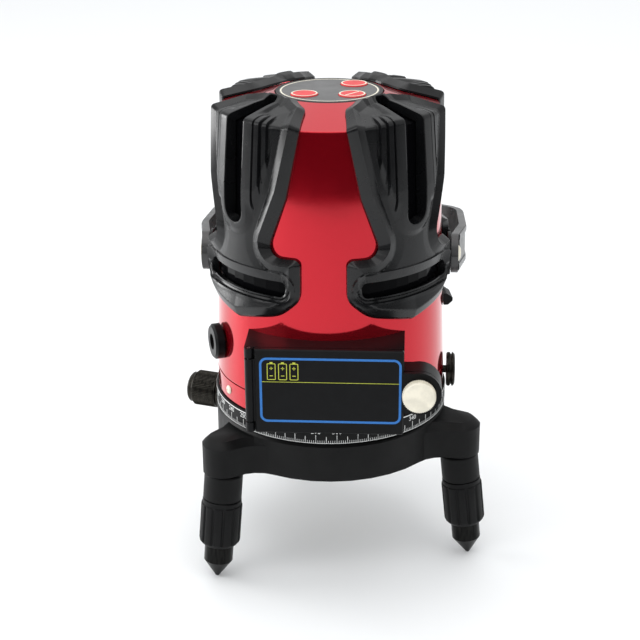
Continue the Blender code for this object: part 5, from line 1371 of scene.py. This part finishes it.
# %% Socket collar and port cover
COVER_AZIMUTH = 8.0
COVER_WIDTH = 0.0098
COVER_HALF = 0.0027
COVER_PROUD = 0.0040
softened("socket_collar", CASE_BLACK)
cover_low, cover_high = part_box("port_cover")
cover_back = skin_line(wall_v(cover_low.z - SHELL_FOOT))[0] + SEAT_GAP
cover_tip = cover_back + COVER_PROUD
cover_side = rounded([
    (cover_back, -COVER_HALF, 0.0),
    (cover_back + 0.5 * COVER_PROUD, -COVER_HALF, 0.0004),
    (cover_tip, -0.3 * COVER_HALF, 0.0006),
    (cover_tip, 0.3 * COVER_HALF, 0.0005),
    (cover_back + 0.3 * COVER_PROUD, COVER_HALF, 0.0004),
    (cover_back, COVER_HALF, 0.0),
])
cover_place = turned(COVER_AZIMUTH, "Z") @ upright(COVER_WIDTH / 2, (cover_low.z + cover_high.z) / 2)
cover = placed(flat_plate("cover", cover_side, COVER_WIDTH), cover_place)
piece("port_cover_wedge", cover, CASE_BLACK, "turret", ("port_cover",))
print("port cover:", len(cover_side), "points in its side view")

# %% Screws of the band
SCREW_RADIUS = 0.0020
SCREW_HEIGHT = 0.0009
SCREW_ANGLE = 58.0
SCREW_STEPS = 28


def cross_screw(radius, height):
    """A domed screw head with a cross recess, its axis along X and its seat at X = 0."""
    dome = [
        (0.0, height), (0.55 * radius, 0.92 * height), (0.85 * radius, 0.62 * height),
        (radius, 0.12 * height), (radius, -height / 2), (0.0, -height / 2),
    ]
    reach = 0.55 * radius
    half = 0.12 * radius
    floor = 0.45 * height
    cross = [box_mesh((-x, -y, floor), (x, y, 2 * height)) for x, y in ((reach, half), (half, reach))]
    head = carved(spun("screw", dome, steps=SCREW_STEPS), cross)
    return placed(head, along((0, 0, 0), (1, 0, 0)))


band_middle = (band_low.z + band_high.z) / 2
screws = []
for azimuth in (-90.0, 90.0):
    screw = cross_screw(SCREW_RADIUS, SCREW_HEIGHT)
    ends = {"start": azimuth - SCREW_ANGLE, "step": 2 * SCREW_ANGLE}
    screws.append(round_pattern("band_screws", screw, CREAM, 2, FOOT_RADIUS, band_middle, **ends))
piece("band_screws", joined("screws", screws), CREAM, "turret")
print("band screws:", len(screws), "pairs")

# %% [markdown]
# ## Carrying handle
# The handle is a flat band that bends round the back of the turret. Its copy keeps the CAD shape, and
# a raised rim runs along both edges of its outer face. The rim is a small section swept along the plan
# of the band and tilted with it.

# %% Handle, its pads and rims
PAD_EDGE = 0.0003
HANDLE_EDGE = 0.0006
HANDLE_SHARP = 40.0
HANDLE_TILT = -8.5
HANDLE_OUTER = 0.0565
HANDLE_START = 0.0015
HANDLE_WIDE = 0.0603
HANDLE_FLARE = 0.0260
HANDLE_FLARE_ROUND = 0.030
HANDLE_REACH = 0.0883
HANDLE_CORNER_ROUND = 0.024
HANDLE_HALF = 0.0086
HANDLE_ARC_STEPS = 12
RIM_WIDTH = 0.0027
RIM_PROUD = 0.0005
RIM_INSET = 0.0006
RIM_SHARP = 50.0


def swept_strip(path, low, high, proud):
    """A strip that stands proud of a plan path between two heights, with eased edges."""
    section = [
        (-proud, low), (proud * 0.6, low), (proud, low + proud), (proud, high - proud),
        (proud * 0.6, high), (-proud, high),
    ]
    loops = []
    for index, here in enumerate(path):
        tangent = (path[min(index + 1, len(path) - 1)] - path[max(index - 1, 0)]).normalized()
        outward = Vector((tangent.y, -tangent.x))
        loops.append([(*(here + outward * reach), height) for reach, height in section])
    return lofted("strip", loops, sharp=RIM_SHARP)


softened("handle", HANDLE_GREY, HANDLE_EDGE, HANDLE_SHARP)
for side in ("left", "right"):
    softened("pivot_pad_" + side, CASE_BLACK, PAD_EDGE)
rim_path = rounded(mirrored([
    (HANDLE_OUTER, HANDLE_START, 0.0),
    (HANDLE_WIDE, HANDLE_FLARE, HANDLE_FLARE_ROUND),
    (HANDLE_WIDE, HANDLE_REACH, HANDLE_CORNER_ROUND),
]), HANDLE_ARC_STEPS)
rim_high = HANDLE_HALF - RIM_INSET
rim_low = HANDLE_HALF - RIM_WIDTH - RIM_INSET
rims = [
    swept_strip(rim_path, rim_low, rim_high, RIM_PROUD),
    swept_strip(rim_path, -rim_high, -rim_low, RIM_PROUD),
]
pivot = Matrix.Translation(joints["handle_swing"]["pos_m"])
rim_mesh = placed(joined("rims", rims, RIM_SHARP), pivot @ turned(HANDLE_TILT, "X"))
piece("handle_rims", rim_mesh, HANDLE_GREY, "bail")
print("handle: rim path of", len(rim_path), "points")

# %% Pivot washers and screws
WASHER_SEAT = 0.0546
WASHER = 0.0008
WASHER_RADIUS = 0.0055
WASHER_STEPS = 48
HEAD_RADIUS = 0.0038
HEAD_HEIGHT = 0.0022
HEAD_GAP = 0.0001
head_seat = WASHER_SEAT + WASHER
washer_bore = HEAD_RADIUS + HEAD_GAP
washer_profile = [
    (washer_bore, WASHER_SEAT), (WASHER_RADIUS, WASHER_SEAT),
    (WASHER_RADIUS, head_seat), (washer_bore, head_seat),
]
for side, sign, turn in (("left", -1, 180.0), ("right", 1, 0.0)):
    washer = spun("washer", washer_profile, steps=WASHER_STEPS)
    washer = placed(washer, along(pivot.translation, (sign, 0, 0)))
    piece("pivot_washer_" + side, washer, CASE_BLACK, "turret")
    head_place = pivot @ turned(turn, "Z") @ Matrix.Translation((head_seat, 0, 0))
    head = placed(cross_screw(HEAD_RADIUS, HEAD_HEIGHT), head_place)
    piece("pivot_screw_head_" + side, head, CREAM, "turret", ("pivot_screw_" + side,))
print("pivots: 2 washers and screws")

# %% [markdown]
# ## Base and scale
# The base is a casting with a grained black coating. The scale ring above it is turned black metal with
# white print: a tick at each degree, a longer one at each fifth and numbers at each tenth. A thin white
# band along both of its edges is a painted highlight. The ticks come from the round pattern. The numbers
# are text made into a mesh and bent.

# %% Base casting and graduated ring
BASE_SHARP = 30.0
RING_WALL = 0.0030
RING_EDGE = 0.0005
ZERO_AZIMUTH = -24.0
TICK_WIDTH = 0.00016
# How many ticks stand in the circle, with their length and width.
TICKS = ((360, 0.0012, TICK_WIDTH), (72, 0.0030, 1.6 * TICK_WIDTH), (36, 0.0036, 1.8 * TICK_WIDTH))
softened("tripod_base", BASE_BLACK, sharp=BASE_SHARP)
ring_low, ring_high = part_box("graduated_ring")
RING_RADIUS = ring_high.x
TICK_FOOT = ring_low.z + 0.0008
# Painted highlights along the ring's lower and upper edges: the height and width of each white band.
EDGE_HIGHLIGHTS = ((ring_low.z + 0.0006, 0.0002), (ring_high.z - 0.0010, 0.00045))
ring_profile = [
    (RING_RADIUS - RING_WALL, ring_high.z), (RING_RADIUS - RING_EDGE, ring_high.z),
    (RING_RADIUS, ring_high.z - RING_EDGE), (RING_RADIUS, ring_low.z + RING_EDGE),
    (RING_RADIUS - RING_EDGE, ring_low.z), (RING_RADIUS - RING_WALL, ring_low.z),
]
ring = spun("ring", ring_profile, steps=HOUSING_STEPS)
piece("scale_ring", ring, BASE_BLACK, "base", ("graduated_ring",))
marks = []
for count, length, width in TICKS:
    tick = box_mesh((-INK, -width / 2, -length / 2), (INK, width / 2, length / 2))
    middle = TICK_FOOT + length / 2
    marks.append(round_pattern("ticks", tick, WHITE_PRINT_AND_HIGHLIGHT, count, RING_RADIUS, middle, ZERO_AZIMUTH))
# The painted edge highlights: thin white bands spun round the ring.
for level, line in EDGE_HIGHLIGHTS:
    inner, outer = RING_RADIUS - INK, RING_RADIUS + INK
    edge = [(inner, level), (outer, level), (outer, level + line), (inner, level + line)]
    marks.append(spun("edge_highlight", edge, 0.0, HOUSING_STEPS))
piece("scale_marks", joined("marks", marks), WHITE_PRINT_AND_HIGHLIGHT, "base")
print("scale: radius", round(RING_RADIUS * 1000, 1), "mm,", len(marks), "sets of marks")

# %% Numbers of the scale
NUMBER_SIZE = 0.0029
NUMBER_FOOT = TICK_FOOT + 0.0043
NUMBER_STEP = 10
NUMBER_CURVE_STEPS = 3


def number_mesh(value, azimuth):
    """A number bent round the ring."""
    text = bpy.data.curves.new("number", "FONT")
    text.body = str(value)
    text.size = NUMBER_SIZE
    text.align_x = "CENTER"
    text.extrude = INK
    text.resolution_u = NUMBER_CURVE_STEPS
    mesh = carried_out(standing("number", text))
    for vert in mesh.vertices:
        across, up, out = vert.co
        angle = math.radians(azimuth) + across / RING_RADIUS
        reach = RING_RADIUS + out
        vert.co = (reach * math.cos(angle), reach * math.sin(angle), NUMBER_FOOT + up)
    return mesh


numbers = [number_mesh(value, ZERO_AZIMUTH + value) for value in range(0, 360, NUMBER_STEP)]
piece("scale_numbers", joined("numbers", numbers), WHITE_PRINT_AND_HIGHLIGHT, "base")
print("scale numbers:", len(numbers))

# %% [markdown]
# ## Legs
# Each leg is a plain sleeve, a fluted wheel that turns, and a pointed foot that moves out of it. The
# wheel's grip is a ring of raised panels between narrow grooves, so its radius is a rule of the angle:
# it is a loft of rings, each drawn by that rule.

# %% Levelling wheel
SEAT_PLAY = 0.0003
WHEEL_RADIUS = 0.0091
WHEEL_FOOT = 0.0162
WHEEL_TOP = 0.0380
WHEEL_SHARP = 28.0
STUD_RADIUS = 0.0064
STUD_TOP = 0.0262
ROD_RADIUS = 0.0046
ROD_TOP = 0.0450
ROD_PLAY = 0.0004
GROOVES = 12
GROOVE_DEPTH = 0.0007
# Share of the groove's depth at each step over one panel.
PANEL = [1.0, 0.85, 0.15, 0.0, 0.0, 0.0, 0.0, 0.0, 0.0, 0.0, 0.15, 0.85]
# Height, inset and share of the groove up the wheel's side, then height and radius down its bore.
WHEEL_SIDE = [
    (WHEEL_FOOT, 0.0018, 0.0), (WHEEL_FOOT + 0.0006, 0.0011, 0.0), (WHEEL_FOOT + 0.0017, 0.0002, 0.3),
    (WHEEL_FOOT + 0.0024, 0.0, 1.0), (WHEEL_TOP - 0.0030, 0.0, 1.0), (WHEEL_TOP - 0.0023, 0.0001, 0.3),
    (WHEEL_TOP - 0.0021, 0.0005, 0.0), (WHEEL_TOP - 0.0003, 0.0005, 0.0), (WHEEL_TOP, 0.0008, 0.0),
]
WHEEL_BORE = [
    (WHEEL_TOP, ROD_RADIUS + ROD_PLAY), (STUD_TOP + SEAT_GAP, ROD_RADIUS + ROD_PLAY),
    (STUD_TOP + SEAT_GAP, STUD_RADIUS + SEAT_PLAY), (WHEEL_FOOT, STUD_RADIUS + SEAT_PLAY),
]


def wheel_mesh():
    """A levelling wheel with raised panels, eased at both ends, and an open bore."""
    steps = GROOVES * len(PANEL)
    turns = circle(1.0, steps)
    loops = []
    for height, inset, share in WHEEL_SIDE:
        radii = [WHEEL_RADIUS - inset - GROOVE_DEPTH * share * depth for depth in PANEL * GROOVES]
        loops.append([(radius * x, radius * y, height) for radius, (x, y) in zip(radii, turns)])
    loops += [[(radius * x, radius * y, height) for x, y in turns] for height, radius in WHEEL_BORE]
    return lofted("wheel", loops, ring=True, sharp=WHEEL_SHARP)


print("wheel:", GROOVES, "grooves")

# %% Three legs
SLEEVE_RADIUS = 0.0085
SLEEVE_TOP = 0.0504
SLEEVE_EASE = 0.0002
SPIGOT_RADIUS = 0.0062
SPIGOT_TOP = SLEEVE_TOP + 0.0080
SLEEVE_FOOT = WHEEL_TOP + SEAT_PLAY
SLEEVE_BORE = ROD_RADIUS + SEAT_PLAY
BORE_TOP = ROD_TOP + 0.0006
FOOT_CONE = 0.0082
FOOT_TIP = 0.0008
FOOT_EASE = 0.0003
sleeve_profile = [
    (0.0, SPIGOT_TOP), (SPIGOT_RADIUS, SPIGOT_TOP), (SPIGOT_RADIUS, SLEEVE_TOP),
    (SLEEVE_RADIUS - 0.0004, SLEEVE_TOP), (SLEEVE_RADIUS, SLEEVE_TOP - 0.0006),
    (SLEEVE_RADIUS, SLEEVE_FOOT + 0.0003), (SLEEVE_RADIUS - 0.0003, SLEEVE_FOOT),
    (SLEEVE_BORE, SLEEVE_FOOT), (SLEEVE_BORE, BORE_TOP), (0.0, BORE_TOP),
]
foot_profile = [
    (0.0, ROD_TOP), (ROD_RADIUS, ROD_TOP), (ROD_RADIUS, STUD_TOP),
    (STUD_RADIUS, STUD_TOP), (STUD_RADIUS, FOOT_CONE), (FOOT_TIP, 0.0), (0.0, 0.0),
]
for side in ("right", "left", "rear"):
    place = joint_place("wheel_turn_" + side)
    wheel_name, foot_name = "wheel_" + side, "foot_" + side
    sleeve = placed(spun("sleeve", sleeve_profile, SLEEVE_EASE), place)
    piece("sleeve_" + side, sleeve, BASE_BLACK, "base", ("leg_sleeve_" + side,))
    wheel = placed(wheel_mesh(), place)
    piece(wheel_name + "_fluted", wheel, BASE_BLACK, wheel_name, ("leg_wheel_" + side,))
    foot = placed(spun("foot", foot_profile, FOOT_EASE), place)
    piece(foot_name + "_point", foot, BLACK_METAL, foot_name, ("foot_stud_" + side,))
print("legs: 3, feet", round(STUD_RADIUS * 2000, 1), "mm thick")

# %% [markdown]
# ## Tripod thread
# Under the base a brass insert takes the tripod's screw. Its thread is a real helix here: a small ridge
# that climbs the bore, swept by a rule of the angle. The CAD keeps a plain bore.

# %% Insert with its thread
INSERT_EDGE = 0.0003
BORE_RADIUS = 0.00794
THREAD_PITCH = 0.00231
THREAD_DEPTH = 0.0009
THREAD_SUNK = 0.0001
THREAD_HALF = 0.4 * THREAD_PITCH
THREAD_SHARP = 40.0
TURN_STEPS = 40
softened("tripod_insert", BRASS, INSERT_EDGE)
insert_low, insert_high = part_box("tripod_insert")


def thread_mesh(radius, low, high):
    """A triangular ridge that climbs the inside of a bore."""
    root = radius + THREAD_SUNK
    section = [(root, -THREAD_HALF), (radius - THREAD_DEPTH, 0.0), (root, THREAD_HALF)]
    loops = []
    for step in range(int((high - low - THREAD_PITCH) / THREAD_PITCH * TURN_STEPS) + 1):
        turn = 2 * math.pi * step / TURN_STEPS
        level = low + THREAD_PITCH * (step / TURN_STEPS + 0.5)
        loops.append([(r * math.cos(turn), r * math.sin(turn), level + rise) for r, rise in section])
    return lofted("thread", loops, sharp=THREAD_SHARP)


thread = thread_mesh(BORE_RADIUS, insert_low.z, insert_high.z)
piece("tripod_thread", thread, BRASS, "base")
print("thread:", len(thread.polygons), "faces")

# %% Sizes
visual_low, visual_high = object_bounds()
grown = [round((b - a) * 1000, 2) for a, b in zip(cad_high - cad_low, visual_high - visual_low)]
print("visual box minus CAD box, mm:", grown)
